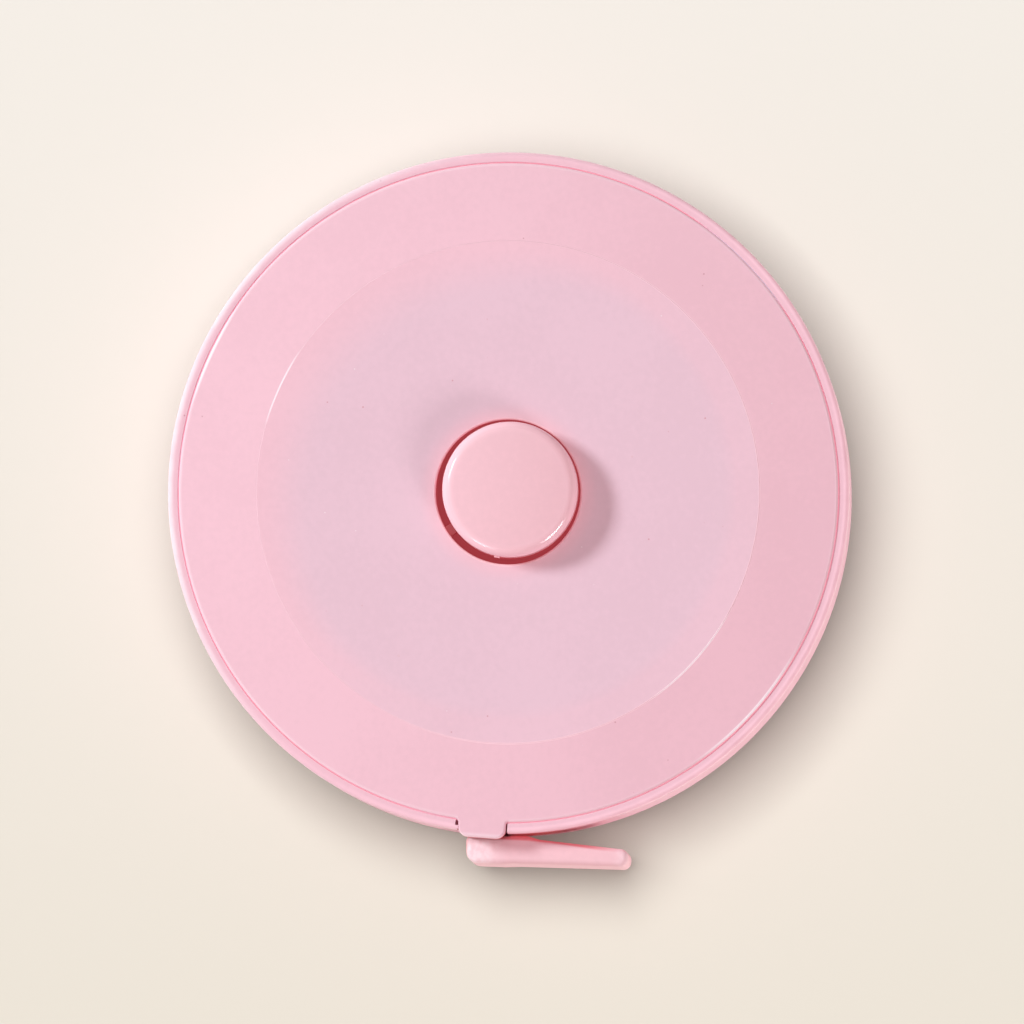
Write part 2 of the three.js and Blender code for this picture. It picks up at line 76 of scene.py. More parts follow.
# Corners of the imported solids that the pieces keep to
_, SHELL_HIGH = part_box("rear_shell")
COVER_LOW, COVER_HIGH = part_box("front_cover")
BUTTON_LOW, BUTTON_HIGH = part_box("push_button")
TAB_LOW, TAB_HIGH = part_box("pull_tab")
WINDING_LOW, WINDING_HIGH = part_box("tape_winding")
POWER_LOW, POWER_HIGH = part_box("power_spring")
BUTTON_MIDDLE = ((BUTTON_LOW.x + BUTTON_HIGH.x) / 2, (BUTTON_LOW.y + BUTTON_HIGH.y) / 2)
TAPE_WIDTH = WINDING_HIGH.z - WINDING_LOW.z
TAPE_MIDDLE = (WINDING_LOW.z + WINDING_HIGH.z) / 2

# Clearances and small rounds
RUN_GAP = 0.3 * MM
SEAT_GAP = 0.05 * MM
SMALL_ROUND = 0.1 * MM

# Rear shell: moulding mark on its back, walls, centre post, and slot with the notch beside the tongue
MARK_DEPTH = 0.1 * MM
MARK_FOOT = 1.3 * MM
MARK_EDGE = 1.6 * MM
FLOOR_WALL = 1.2 * MM
WALL_INNER = 23.803 * MM
REBATE_RADIUS = 24.253 * MM
LEDGE = 11.0 * MM
BOSS_RADIUS = 5.5 * MM
BOSS_TOP = 1.8 * MM
POST_RADIUS = 3.0 * MM
POST_TOP = 7.45 * MM
PIP_RADIUS = 1.2 * MM
PIP_TOP = 9.95 * MM
KEYWAY_FOOT = 1.1 * MM
KEYWAY_WIDTH = 0.75 * MM
REEL_FLOOR = 2.8 * MM
SLOT_BOTTOM = 2.75 * MM
SLOT_FLARE = 0.12 * MM
NOTCH_WIDTH = 0.26 * MM
NOTCH_REACH = 0.42 * MM
NOTCH_STEP = 0.08 * MM

# Front cover: edge and skirt, rib under the disc, and collar with its keys
COVER_WALL = 1.2 * MM
SKIRT_INNER = 22.753 * MM
SKIRT_OUTER = 23.503 * MM
SKIRT_BOTTOM = 10.35 * MM
EDGE_BOTTOM = 11.3 * MM
PARTING_TOP = 12.0 * MM
TONGUE_BOTTOM = 10.85 * MM
RIB_INNER = 12.0 * MM
RIB_OUTER = 13.0 * MM
RIB_BOTTOM = 11.3 * MM
COLLAR_RADIUS = 6.2 * MM
KEY_COUNT = 3
KEY_ANGLE = math.radians(212)
KEY_WIDTH = 0.8 * MM
KEY_REACH = 0.5 * MM
KEY_TOP = 11.0 * MM
KEY_ROOT = 0.2 * MM  # sunk into the collar
KEY_SHY = 0.05 * MM  # short of the collar's ends

# Push button: flange, hollow for its spring, grooves for the keys, and gate mark on its side
BUTTON_FLANGE_TOP = 9.25 * MM
BUTTON_UNDERSIDE = 14.0 * MM
BUTTON_HOLLOW = 3.6 * MM
BUTTON_HOLLOW_TOP = 8.75 * MM
SPRING_SEAT = 2.5 * MM
GROOVE_WIDTH = 1.872 * MM
GROOVE_FOOT = 4.264 * MM
GROOVE_TOP = 12.3 * MM
GATE_ANGLE = math.radians(-101.6)
GATE_ROOT = 0.3 * MM
GATE_PROUD = 0.09 * MM
GATE_WIDTH = 0.4 * MM
GATE_DEPTH = 0.4 * MM  # below the cover's face
GATE_RISE = 0.16 * MM  # above it

# Reel: barrel, tucked end of the tape, and power spring
BARREL_INNER = 8.55 * MM
TUCK_BOTTOM = 6.3 * MM
TUCK_DROP = 0.2 * MM  # from the winding's edge to the tucked end's, so that the two join cleanly
POWER_START = 3.375 * MM
POWER_PITCH = 0.57 * MM
POWER_TURNS = 7.193
POWER_ANGLE = math.radians(20)
POWER_HOOK = 8.3 * MM
POWER_TAIL = 1.4 * MM
POWER_STRIP = 0.15 * MM
POWER_STEPS = 72

# Tape's run: its bend and end inside the tab
TAB_POCKET_DEPTH = 26.328 * MM
LEAD_BEND = 4.0 * MM
LEAD_END = 5.6 * MM
BEND_STEPS = 24
POCKET_POINTS = 66  # of the run, up to the pocket's foot inside the tab

# Parts of the way from the slot to the tab's mouth: where the run's points stand close together, and
# where it starts to draw out
CLOSE_FROM = 0.8
CLOSE_SPAN = 0.25
CLOSE_STEPS = 60


def linear(red, green, blue):
    """A screen colour of 0 to 255 steps as the linear colour that shaders take."""
    def channel(step):
        level = step / 255
        return level / 12.92 if level <= 0.04045 else ((level + 0.055) / 1.055) ** 2.4
    return channel(red), channel(green), channel(blue)


def length(name, description, default):
    """A property for a length."""
    return FloatProperty(name=name, description=description, default=default,
                         precision=5, unit="LENGTH")


def angle(name, description, default):
    """A property for an angle."""
    return FloatProperty(name=name, description=description, default=default, subtype="ANGLE")


def share(name, description, default):
    """A property for a plain factor."""
    return FloatProperty(name=name, description=description, default=default, min=0.0,
                         subtype="FACTOR", soft_max=1.0)


def colour(name, description, default):
    """A property for a colour."""
    return FloatVectorProperty(name=name, description=description, default=default,
                               size=3, min=0.0, max=1.0, subtype="COLOR")


def power(name, description, default):
    """A property for a lamp's power in watts."""
    return FloatProperty(name=name, description=description, default=default, min=0.0,
                         unit="POWER")


class CaseSizes(bpy.types.PropertyGroup):
    """Sizes of the front cover and the rear shell."""

    radius: length("Case radius", "Outside of the wall", SHELL_HIGH.x)
    cover_radius: length("Cover radius", "Edge of the front cover in its rim", COVER_HIGH.x + 0.055 * MM)
    crease_radius: length("Crease radius", "Edge of the flat disc", 18.453 * MM)
    crease_round: length("Crease round", "Round of the crease inside and at the back", 1.4 * MM)
    crease_step: length("Crease step", "Half the width of the step down to the band", 0.022 * MM)
    face: length("Face height", "Flat disc above the back", COVER_HIGH.z)
    band_drop: length("Band drop", "Fall of the sloping band at the cover's edge", 0.75 * MM)
    edge_bevel: length("Edge bevel", "Width of the bevel round the cover's edge", 0.1 * MM)
    rim_top: length("Rim height", "Top of the shell's rim", SHELL_HIGH.z + 0.17 * MM)
    rim_round: length("Rim round", "Outer round of the rim", 0.65 * MM)
    draft: length("Wall draft", "Taper of the wall towards the back", 0.1 * MM)
    back_round: length("Back round", "Round between the back and the wall", 1.8 * MM)
    hole_radius: length("Hole radius", "Hole of the push button", 5.3 * MM)
    hole_round: length("Hole round", "Round of the hole's edge", 0.16 * MM)
    slot_angle: angle("Slot angle", "Direction of the tape slot", math.radians(-94.4))
    slot_width: length("Slot width", "Width of the tape slot", 3.6 * MM)
    tongue_width: length("Tongue width", "Cover's tongue over the slot", 3.4 * MM)
    tongue_reach: length("Tongue reach", "Tip of the tongue from the axis", 25.39 * MM)
    tongue_round: length("Tongue round", "Corners of the tongue's tip", 0.75 * MM)


class ButtonSizes(bpy.types.PropertyGroup):
    """Sizes of the push button and its coil spring."""

    radius: length("Button radius", "Outside of the cap", 4.97 * MM)
    top: length("Button height", "Top of the cap above the back", BUTTON_HIGH.z)
    crown: length("Crown", "Rise of the cap's middle", 0.25 * MM)
    edge_round: length("Edge round", "Round of the cap's edge", 0.9 * MM)
    coil_radius: length("Coil radius", "Middle of the spring's wire", 2.0 * MM)
    wire: length("Spring wire", "Diameter of the spring's wire", 0.4 * MM)
    coil_turns: IntProperty(name="Coil turns", description="Turns of the button's spring", default=6)


class TabSizes(bpy.types.PropertyGroup):
    """Sizes of the pull tab on the tape's end."""

    tilt: angle("Tab tilt", "Turn of the tab away from the case", math.radians(3))
    near: length("Tab near side", "Case side of the tab from the axis", 25.17 * MM)
    root: length("Tab root", "Root behind the point nearest the case", 1.85 * MM)
    tip: length("Tab tip", "Tip ahead of the point nearest the case", 10.1 * MM)
    thickness: length("Tab thickness", "Across the flat of the tab", 1.93 * MM)
    thinning: length("Tip thinning", "Taken off the case side of the tip", 0.5 * MM)
    taper: length("Tip taper", "Taken off the outside of the tip", 0.19 * MM)
    bead: length("Root bead", "Swelling of the outside at the root", 0.25 * MM)
    bevel: length("Tab bevel", "Round of the tab's long edges", 0.44 * MM)


class TapeSizes(bpy.types.PropertyGroup):
    """Sizes of the cloth tape and its winding."""

    thickness: length("Tape thickness", "Coated cloth", 0.32 * MM)
    wind_start: length("Winding start", "Middle of the first turn", 9.91 * MM)
    wind_end: length("Winding end", "Middle of the last turn", 21.473 * MM)
    wind_pitch: length("Winding pitch", "From turn to turn", 0.76 * MM)
    end_gap: length("End gap", "Between the winding and the run to the tab", 0.3 * MM)


class Colours(bpy.types.PropertyGroup):
    """Colours of the finishes."""

    band: colour("Band pink", "Cover's band and the shell", (0.89, 0.53, 0.622))
    disc: colour("Disc pink", "Flat disc, a little nearer to lilac", (0.81, 0.533, 0.632))
    button: colour("Button pink", "Push button", (0.91, 0.535, 0.605))
    tab: colour("Tab pink", "Pull tab", (0.94, 0.57, 0.63))
    reel: colour("Reel white", "Reel, flange and spring cover", (0.80, 0.79, 0.75))
    tape: colour("Tape cream", "Coated cloth tape", (0.84, 0.80, 0.70))
    ink: colour("Tape ink", "Printed graduations", (0.02, 0.02, 0.022))
    steel: colour("Spring steel", "Both springs", (0.50, 0.51, 0.53))
    rubber: colour("Brake rubber", "Brake ring", (0.022, 0.022, 0.024))


class StageSettings(bpy.types.PropertyGroup):
    """Floor, lamps and camera."""

    floor_far: colour("Floor far", "Floor behind the object", linear(246, 243, 235))
    floor_near: colour("Floor near", "Floor before the object", linear(239, 234, 221))
    floor_out: colour("Floor far out", "Floor well away from the object", linear(242, 240, 230))
    floor_glow: share("Floor glow", "Share of the floor's tone that no shadow takes", 0.05)
    floor_shine: share("Floor shine", "Floor's light in reflections, over what the lamps give", 0.5)
    key: power("Key lamp", "Soft box at the left", 56.5)
    fill: power("Fill lamp", "Low soft box at the lower right", 24.0)
    top: power("Top lamp", "Panel above, a little to the upper left", 10.24)
    card: power("Card lamp", "Panel above that lights the floor alone", 125.0)
    glint: power("Glint lamps", "Small boxes that only shine in the button's edge", 1.6)
    ambient: share("Ambient", "Even light from all round", 0.32)
    distance: length("Camera distance", "From the aim point", 2.5)
    frame_width: length("Frame width", "Seen across at the aim point", 75.23 * MM)
    aim: FloatVectorProperty(name="Aim", description="Point in the middle of the picture", size=3,
                             default=(0.067 * MM, -1.19 * MM, 6.8 * MM), subtype="XYZ", unit="LENGTH")
    lean: FloatVectorProperty(name="Camera lean", description="Sideways step for each step up",
                              size=2, default=(0.0365, -0.0444), subtype="NONE")


class TapeMeasureSettings(bpy.types.PropertyGroup):
    """All the sizes, colours and stage settings of the tape measure."""

    case: PointerProperty(type=CaseSizes)
    button: PointerProperty(type=ButtonSizes)
    tab: PointerProperty(type=TabSizes)
    tape: PointerProperty(type=TapeSizes)
    colours: PointerProperty(type=Colours)
    stage: PointerProperty(type=StageSettings)


# Outlines and meshes

def polar(radius, turn):
    """A point of the plan at a radius and an angle from +X."""
    return Vector((radius * math.cos(turn), radius * math.sin(turn)))


def at_height(plan, height):
    """Points of the plan, raised to one height."""
    return [(point.x, point.y, height) for point in plan]


def plan_normals(plan):
    """Outward directions at the points of a closed outline that runs anticlockwise."""
    normals = []
    for i in range(len(plan)):
        chord = plan[(i + 1) % len(plan)] - plan[i - 1]
        normals.append(Vector((chord.y, -chord.x)).normalized())
    return normals


def spiral(start, pitch, turn, count, steps):
    """Plan points of a spiral that grows by a pitch in each turn of so many steps."""
    return [polar(start + pitch * i / steps, turn + 2 * math.pi * i / steps)
            for i in range(count + 1)]


def rounded(corners, closed=False, step=math.radians(10), most=0.48):
    """Points of an outline of (x, y, round) corners, with each round turned as an arc.

    A round takes up no more than the share most of the shorter line beside it.
    """
    points = []
    last = len(corners) - 1
    for place, (x, y, size) in enumerate(corners):
        here = Vector((x, y))
        if size == 0 or (not closed and place in (0, last)):
            points.append(here)
            continue
        back = Vector(corners[place - 1][:2]) - here
        ahead = Vector(corners[(place + 1) % len(corners)][:2]) - here
        half = back.angle(ahead) / 2
        size = min(size, most * min(back.length, ahead.length) * math.tan(half))
        middle = here + (back.normalized() + ahead.normalized()).normalized() * size / math.sin(half)
        first = here + back.normalized() * size / math.tan(half) - middle
        sweep = math.copysign(math.pi - 2 * half, ahead.x * back.y - ahead.y * back.x)
        steps = max(4, math.ceil(abs(sweep) / step))
        start = math.atan2(first.y, first.x)
        points.extend(middle + polar(first.length, start + sweep * i / steps) for i in range(steps + 1))
    return points


def braced(points, closed, gap):
    """The outline with a point close to both ends of each long line, so that flats shade evenly."""
    result = []
    count = len(points)
    for place, here in enumerate(points):
        result.append(here)
        if place == count - 1 and not closed:
            break
        ahead = points[(place + 1) % count] - here
        if ahead.length > 4 * gap:
            step = ahead.normalized() * gap
            result.extend((here + step, here + ahead - step))
    return result


def outward(mesh):
    """The closed mesh with its faces turned outwards and shaded smooth, but sharp at its edges."""
    work = bmesh.new()
    work.from_mesh(mesh)
    bmesh.ops.recalc_face_normals(work, faces=work.faces)
    for face in work.faces:
        face.smooth = True
    work.to_mesh(mesh)
    work.free()
    mesh.set_sharp_from_angle(angle=SHARP_ANGLE)
    return mesh


def skin(name, rings, loop=False, capped=False):
    """A mesh over rings of points. A ring of one point is a pole, and loop joins last to first."""
    points, starts, faces = [], [], []
    for ring in rings:
        starts.append(len(points))
        points.extend(ring)
    pairs = [(i, i + 1) for i in range(len(rings) - 1)]
    if loop:
        pairs.append((len(rings) - 1, 0))
    for low, high in pairs:
        count = max(len(rings[low]), len(rings[high]))
        for i in range(count):
            j = (i + 1) % count
            lower = [starts[low] + k for k in ((i, j) if len(rings[low]) > 1 else (0,))]
            upper = [starts[high] + k for k in ((j, i) if len(rings[high]) > 1 else (0,))]
            faces.append(lower + upper)
    if capped:
        faces.append(range(starts[0], starts[0] + len(rings[0])))
        faces.append(range(starts[-1], starts[-1] + len(rings[-1])))
    mesh = bpy.data.meshes.new(name)
    mesh.from_pydata(points, [], faces)
    return outward(mesh)


def turned(name, profile, segments, centre=Vector((0, 0))):
    """A mesh turned about an upright axis from (radius, height) points."""
    rings = []
    for radius, height in profile:
        if radius < TINY:
            rings.append([(centre.x, centre.y, height)])
            continue
        plan = [centre + polar(radius, 2 * math.pi * i / segments) for i in range(segments)]
        rings.append(at_height(plan, height))
    return skin(name, rings)


def radial_block(name, turn, inner, outer, width, bottom, top, flare=0.0):
    """A block that reaches outwards along an angle, and may flare at its outer end."""
    rings = []
    stations = [(inner, 0.0), (outer, 0.0)]
    if flare:
        stations = [(inner, 0.0), (outer - flare, 0.0), (outer + flare, 2 * flare)]
    way, across = polar(1, turn), polar(1, turn + math.pi / 2)
    for reach, extra in stations:
        half = width / 2 + extra
        ring = []
        for side, height in ((-half, bottom - extra), (half, bottom - extra), (half, top), (-half, top)):
            plan = way * reach + across * side
            ring.append((plan.x, plan.y, height))
        rings.append(ring)
    return skin(name, rings, capped=True)


def slab(name, plan, bottom, top, bevel, steps=6):
    """A flat piece with an outline of plan points and rounded edges."""
    normals = plan_normals(plan)
    levels = []
    for i in range(steps + 1):
        lean = math.pi / 2 * i / steps
        levels.append((bevel * (1 - math.sin(lean)), bevel * (1 - math.cos(lean))))
    brace = 1.6 * bevel
    heights = [(inset, bottom + rise) for inset, rise in levels]
    heights += [(0.0, bottom + brace), (0.0, top - brace)]
    heights += [(inset, top - rise) for inset, rise in reversed(levels)]
    rings = []
    for inset, height in heights:
        ring = [point - normal * inset for point, normal in zip(plan, normals)]
        rings.append(at_height(ring, height))
    return skin(name, rings, capped=True)


def new_object(name, data):
    """A new object in the scene."""
    item = bpy.data.objects.new(name, data)
    bpy.context.scene.collection.objects.link(item)
    return item


def settled(name, holders):
    """The mesh that the first holder's modifiers make. All the holders are then taken away."""
    graph = bpy.context.evaluated_depsgraph_get()
    result = bpy.data.meshes.new_from_object(holders[0].evaluated_get(graph))
    for spare in holders:
        data = spare.data
        bpy.data.objects.remove(spare)
        bpy.data.meshes.remove(data)
    if not result.polygons:
        raise RuntimeError(f"{name}: no faces were made")
    result.name = name
    return outward(result)


def combined(mesh, others, operation):
    """The mesh after other meshes are cut from it or joined to it."""
    name = mesh.name
    holders = [new_object(name, mesh)]
    for other in others:
        helper = new_object(other.name, other)
        holders.append(helper)
        step = holders[0].modifiers.new(other.name, "BOOLEAN")
        step.operation = operation
        step.solver = "EXACT"
        step.object = helper
    return settled(name, holders)


def place_piece(name, mesh, material, body=None, replaced=()):
    """Puts a finished mesh into the scene as a piece that rides on a body."""
    mesh.materials.clear()
    mesh.materials.append(material)
    mesh.name = name
    piece = new_object(name, mesh)
    if replaced:
        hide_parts(*replaced)
    if body:
        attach(piece, body)
    return piece


# Trees for what follows a path or repeats

STRIP_ROUND = 0.25  # round of a strip's edges, as a share of its thickness
WIRE_SIDES = 14


def new_tree(name, inputs):
    """A geometry tree with a geometry in and out, and named number inputs."""
    tree = bpy.data.node_groups.new(name, "GeometryNodeTree")
    tree.interface.new_socket("Geometry", in_out="INPUT", socket_type="NodeSocketGeometry")
    for label, kind in inputs:
        tree.interface.new_socket(label, in_out="INPUT", socket_type=kind)
    tree.interface.new_socket("Geometry", in_out="OUTPUT", socket_type="NodeSocketGeometry")
    return tree


def tree_node(tree, kind, inputs=None, **settings):
    """Adds a node to a tree and feeds its inputs with values or other nodes' outputs."""
    node = tree.nodes.new(kind)
    for key, value in settings.items():
        setattr(node, key, value)
    for key, value in (inputs or {}).items():
        if isinstance(value, bpy.types.NodeSocket):
            tree.links.new(value, node.inputs[key])
        else:
            node.inputs[key].default_value = value
    return node


def tree_math(tree, operation, first, second):
    """The result of a sum on two numbers in a tree."""
    return tree_node(tree, "ShaderNodeMath", {0: first, 1: second}, operation=operation).outputs[0]


def end_tree(tree, geometry, material):
    """Ends a tree with real geometry and its material."""
    real = tree_node(tree, "GeometryNodeRealizeInstances", {"Geometry": geometry})
    dressed = tree_node(tree, "GeometryNodeSetMaterial", {
        "Geometry": real.outputs[0], "Material": material})
    tree_node(tree, "NodeGroupOutput", {0: dressed.outputs[0]})
    return tree


def path_tree(name, material, flat):
    """A strip on edge, or a round wire, that follows the lines of the mesh it is given."""
    number = "NodeSocketFloat"
    labels = [("Thickness", number), ("Width", number)] if flat else [("Wire", number)]
    tree = new_tree(name, labels)
    given = tree_node(tree, "NodeGroupInput")
    path = tree_node(tree, "GeometryNodeMeshToCurve", {"Mesh": given.outputs["Geometry"]})
    upright = tree_node(tree, "GeometryNodeSetCurveNormal", {"Curve": path.outputs[0]}, mode="Z_UP")
    if flat:
        section = tree_node(tree, "GeometryNodeCurvePrimitiveQuadrilateral", {
            "Width": given.outputs["Thickness"], "Height": given.outputs["Width"]})
        soft = tree_math(tree, "MULTIPLY", given.outputs["Thickness"], STRIP_ROUND)
        profile = tree_node(tree, "GeometryNodeFilletCurve", {
            "Curve": section.outputs[0], "Radius": soft, "Count": 2}, mode="POLY")
    else:
        half = tree_math(tree, "MULTIPLY", given.outputs["Wire"], 0.5)
        profile = tree_node(tree, "GeometryNodeCurvePrimitiveCircle", {
            "Resolution": WIRE_SIDES, "Radius": half})
    swept = tree_node(tree, "GeometryNodeCurveToMesh", {
        "Curve": upright.outputs[0], "Profile Curve": profile.outputs[0], "Fill Caps": True})
    return end_tree(tree, swept.outputs[0], material)


def key_tree(name, material):
    """Blocks that stand round a bore, evenly spaced and turned to the axis."""
    number = "NodeSocketFloat"
    tree = new_tree(name, [("Count", "NodeSocketInt"), ("Radius", number), ("Reach", number),
                           ("Width", number), ("Height", number), ("Start", number)])
    given = tree_node(tree, "NodeGroupInput")
    spots = tree_node(tree, "GeometryNodeMeshCircle", {
        "Vertices": given.outputs["Count"], "Radius": given.outputs["Radius"]})
    size = tree_node(tree, "ShaderNodeCombineXYZ", {
        "X": given.outputs["Reach"], "Y": given.outputs["Width"], "Z": given.outputs["Height"]})
    block = tree_node(tree, "GeometryNodeMeshCube", {"Size": size.outputs[0]})
    spacing = tree_math(tree, "DIVIDE", 2 * math.pi, given.outputs["Count"])
    index = tree_node(tree, "GeometryNodeInputIndex").outputs[0]
    turned_in = tree_node(tree, "ShaderNodeCombineXYZ", {"Z": tree_math(tree, "MULTIPLY", index, spacing)})
    blocks = tree_node(tree, "GeometryNodeInstanceOnPoints", {
        "Points": spots.outputs["Mesh"], "Instance": block.outputs["Mesh"],
        "Rotation": turned_in.outputs[0]})
    start = tree_node(tree, "ShaderNodeCombineXYZ", {"Z": given.outputs["Start"]})
    swung = tree_node(tree, "GeometryNodeTransform", {
        "Geometry": blocks.outputs[0], "Rotation": start.outputs[0]})
    return end_tree(tree, swung.outputs[0], material)


def grown(name, tree, values, path=()):
    """The plain mesh that a tree makes from a path and its sizes."""
    seed = bpy.data.meshes.new(name)
    seed.from_pydata([tuple(point) for point in path],
                     [(i, i + 1) for i in range(len(path) - 1)], [])
    holder = new_object(name, seed)
    step = holder.modifiers.new(name, "NODES")
    step.node_group = tree
    for item in tree.interface.items_tree:
        if item.in_out == "INPUT" and item.name in values:
            step[item.identifier] = values[item.name]
    return settled(name, [holder])


# Finishes

class Finish:
    """A material under construction, with short ways to add and join its nodes."""

    def __init__(self, name, **sockets):
        self.material = bpy.data.materials.new(name)
        self.material.use_nodes = True
        self.tree = self.material.node_tree
        self.shader = self.tree.nodes["Principled BSDF"]
        for key, value in sockets.items():
            self.shader.inputs[key.replace("_", " ")].default_value = value
        self.place = self.add("ShaderNodeTexCoord").outputs["Object"]

    def add(self, kind, inputs=None, **settings):
        """A new node of the material."""
        return tree_node(self.tree, kind, inputs, **settings)

    def parts(self):
        """The place on the object as X, Y and Z."""
        return self.add("ShaderNodeSeparateXYZ", {"Vector": self.place}).outputs

    def set(self, socket, value):
        """Joins a value to a socket of the shader."""
        self.tree.links.new(value, self.shader.inputs[socket])

    def math(self, operation, first, second=0.0):
        """The result of a sum on two numbers."""
        return tree_math(self.tree, operation, first, second)

    def noise(self, scale, detail, place=None):
        """Soft random values from 0 to 1, at so many cells to a metre."""
        node = self.add("ShaderNodeTexNoise", {
            "Vector": place or self.place, "Scale": scale, "Detail": detail})
        return node.outputs[0]

    def spread(self, value, low, high, first=0.0, last=1.0):
        """A smooth change from first to last as a value goes from low to high."""
        node = self.add("ShaderNodeMapRange", {
            "Value": value, "From Min": low, "From Max": high, "To Min": first, "To Max": last},
            interpolation_type="SMOOTHSTEP")
        return node.outputs[0]

    def mix(self, part, first, second, blend="MIX"):
        """A colour that goes from the first to the second with part."""
        node = self.add("ShaderNodeMix", {0: part, 6: first, 7: second},
                        data_type="RGBA", blend_type=blend)
        return node.outputs[2]

    def mapped(self, scale):
        """The place on the object, with each axis scaled."""
        return self.add("ShaderNodeMapping", {"Vector": self.place, "Scale": scale}).outputs[0]

    def blend(self, part, first, second):
        """A number that goes from the first to the second with part."""
        node = self.add("ShaderNodeMix", {0: part, 2: first, 3: second}, data_type="FLOAT")
        return node.outputs[0]

    def bump(self, height, distance, strength=1.0):
        """Raises the surface by a height, of so many metres at most."""
        node = self.add("ShaderNodeBump", {
            "Height": height, "Distance": distance, "Strength": strength})
        self.set("Normal", node.outputs[0])


def solid(tone, factor=1.0):
    """A colour with its alpha, made lighter or darker."""
    return (*(min(1.0, channel * factor) for channel in tone), 1.0)


def tinted(tone, red, green, blue):
    """A colour with each channel scaled."""
    return (min(1.0, tone[0] * red), min(1.0, tone[1] * green), min(1.0, tone[2] * blue), 1.0)


# Flecks of the plastic: channel of the random pick, least value that shows, size in its cell, and tone
FLECKS = (
    (0, 0.84, 0.07, (0.70, 0.34, 0.41, 1.0)),
    (1, 0.80, 0.05, (0.93, 0.74, 0.80, 1.0)),
)
FLECK_CELLS = 760.0
CLOUD_SCALES = (110.0, 2100.0)  # slow and fine
CLOUD_TONES = (0.982, 1.015)
FINE_SHARE = 0.45
WAVE_DEPTH = 0.003 * MM
GRAIN_SHARE = 0.12
NO_LIGHT = (0.0, 0.0, 0.0, 1.0)


def moulded(name, base, layers, gloss=0.3, sheen=0.4):
    """Satin moulded plastic: slow clouds of tone, fine surface grain and rare flecks.

    Each layer is a mask, the tone that it lays over the pink, the glow painted there, and its roughness.
    """
    finish = Finish(name, IOR=1.46, Specular_IOR_Level=sheen, Emission_Strength=1.0)
    slow, fine = (finish.noise(scale, 3.0) for scale in CLOUD_SCALES)
    cloud = finish.spread(finish.blend(FINE_SHARE, slow, fine), 0.38, 0.62)
    tone = finish.mix(cloud, *(base(finish, level) for level in CLOUD_TONES))
    cells = finish.add("ShaderNodeTexVoronoi", {"Vector": finish.place, "Scale": FLECK_CELLS})
    pick = finish.add("ShaderNodeSeparateColor", {"Color": cells.outputs["Color"]}).outputs
    for channel, least, size, stain in FLECKS:
        rare = finish.math("GREATER_THAN", pick[channel], least)
        dot = finish.spread(cells.outputs["Distance"], size, 0.4 * size)
        tone = finish.mix(finish.math("MULTIPLY", dot, rare), tone, stain)
    glow = NO_LIGHT
    rough = finish.spread(finish.noise(420.0, 3.0), 0.3, 0.7, gloss - 0.03, gloss + 0.05)
    for mask, stain, light, dull in layers(finish):
        tone = finish.mix(mask, tone, stain)
        glow = finish.mix(mask, glow, light)
        rough = finish.blend(mask, rough, dull)
    for socket, value in (("Base Color", tone), ("Roughness", rough), ("Emission Color", glow)):
        finish.set(socket, value)
    grain = finish.math("MULTIPLY", finish.noise(2600.0, 3.0), GRAIN_SHARE)
    finish.bump(finish.math("ADD", finish.noise(240.0, 2.0), grain), WAVE_DEPTH)
    return finish.material


# Tone, painted glow and roughness laid over the plastic: painted shade and glow in narrow gaps, painted
# light and glints along its edges
# Painted red shade with a painted glow, down in the button's hole and the bore
GAP_SHADE_GLOW = ((0.46, 0.05, 0.075, 1.0), (0.19, 0.035, 0.043, 1.0), 0.95)
# Painted glow in the parting line, over a slightly darker pink
LINE_GLOW = ((0.85, 0.50, 0.57, 1.0), (0.24, 0.12, 0.15, 1.0), 0.7)
# Painted glints on the crease and the cover's edge, towards the lamps
PAINTED_GLINT = ((0.97, 0.80, 0.86, 1.0), (0.16, 0.24, 0.24, 1.0), 0.15)
# Painted light that hides the parting line's shade at random places
LINE_SHADE_LIT_AWAY = ((0.86, 0.60, 0.68, 1.0), (0.14, 0.19, 0.21, 1.0), 0.5)
# Painted red shade with a faint painted glow, in the tape slot and under the tongue
SLOT_SHADE_GLOW = ((0.58, 0.10, 0.13, 1.0), (0.04, 0.005, 0.006, 1.0), 0.7)
# Painted pink round the button's hole, for shade and for light scattered in the plastic
PAINTED_HALO = ((0.94, 0.46, 0.51, 1.0), NO_LIGHT, 0.13)
# Painted pale ring of light on the hole's rounded edge
PAINTED_LIP_LIGHT = ((0.95, 0.60, 0.66, 1.0), NO_LIGHT, 0.13)
# Painted light, with a faint glow, along the cover's edge and the tongue's tip
PAINTED_EDGE_LIGHT = ((0.95, 0.67, 0.75, 1.0), (0.03, 0.028, 0.03, 1.0), 0.2)
# Painted highlight on the rim's outer round, on the side the light comes from
PAINTED_RIM_HIGHLIGHT = ((1.0, 0.78, 0.84, 1.0), (0.0, 0.03, 0.03, 1.0), 0.3)
# Painted light and glow on the rim's outer round, strongest on the side away from the light
PAINTED_RIM_LIGHT = ((0.92, 0.59, 0.68, 1.0), (0.23, 0.13, 0.15, 1.0), 0.3)
# Painted light on the crease, on the side away from the light
CREASE_PAINTED_LIGHT = ((0.92, 0.62, 0.70, 1.0), (0.16, 0.10, 0.115, 1.0), 0.13)
# Painted shade on the crease
CREASE_PAINTED_SHADE = ((0.86, 0.52, 0.60, 1.0), NO_LIGHT, 0.13)
# Painted red shade and glow on the wall in the wedge between the rim and the tab
WEDGE_SHADE_GLOW = ((0.92, 0.32, 0.33, 1.0), (0.08, 0.016, 0.018, 1.0), 0.5)
# Painted glow on the button's rounded edge
BUTTON_GLOW = (0.10, 0.062, 0.07, 1.0)
# Painted glow on the pale rub marks at the tab's ends
TAB_END_GLOW = (0.09, 0.065, 0.07, 1.0)
# Painted glow in the red shade along the tab's case side
TAB_SIDE_GLOW = (0.03, 0.006, 0.007, 1.0)

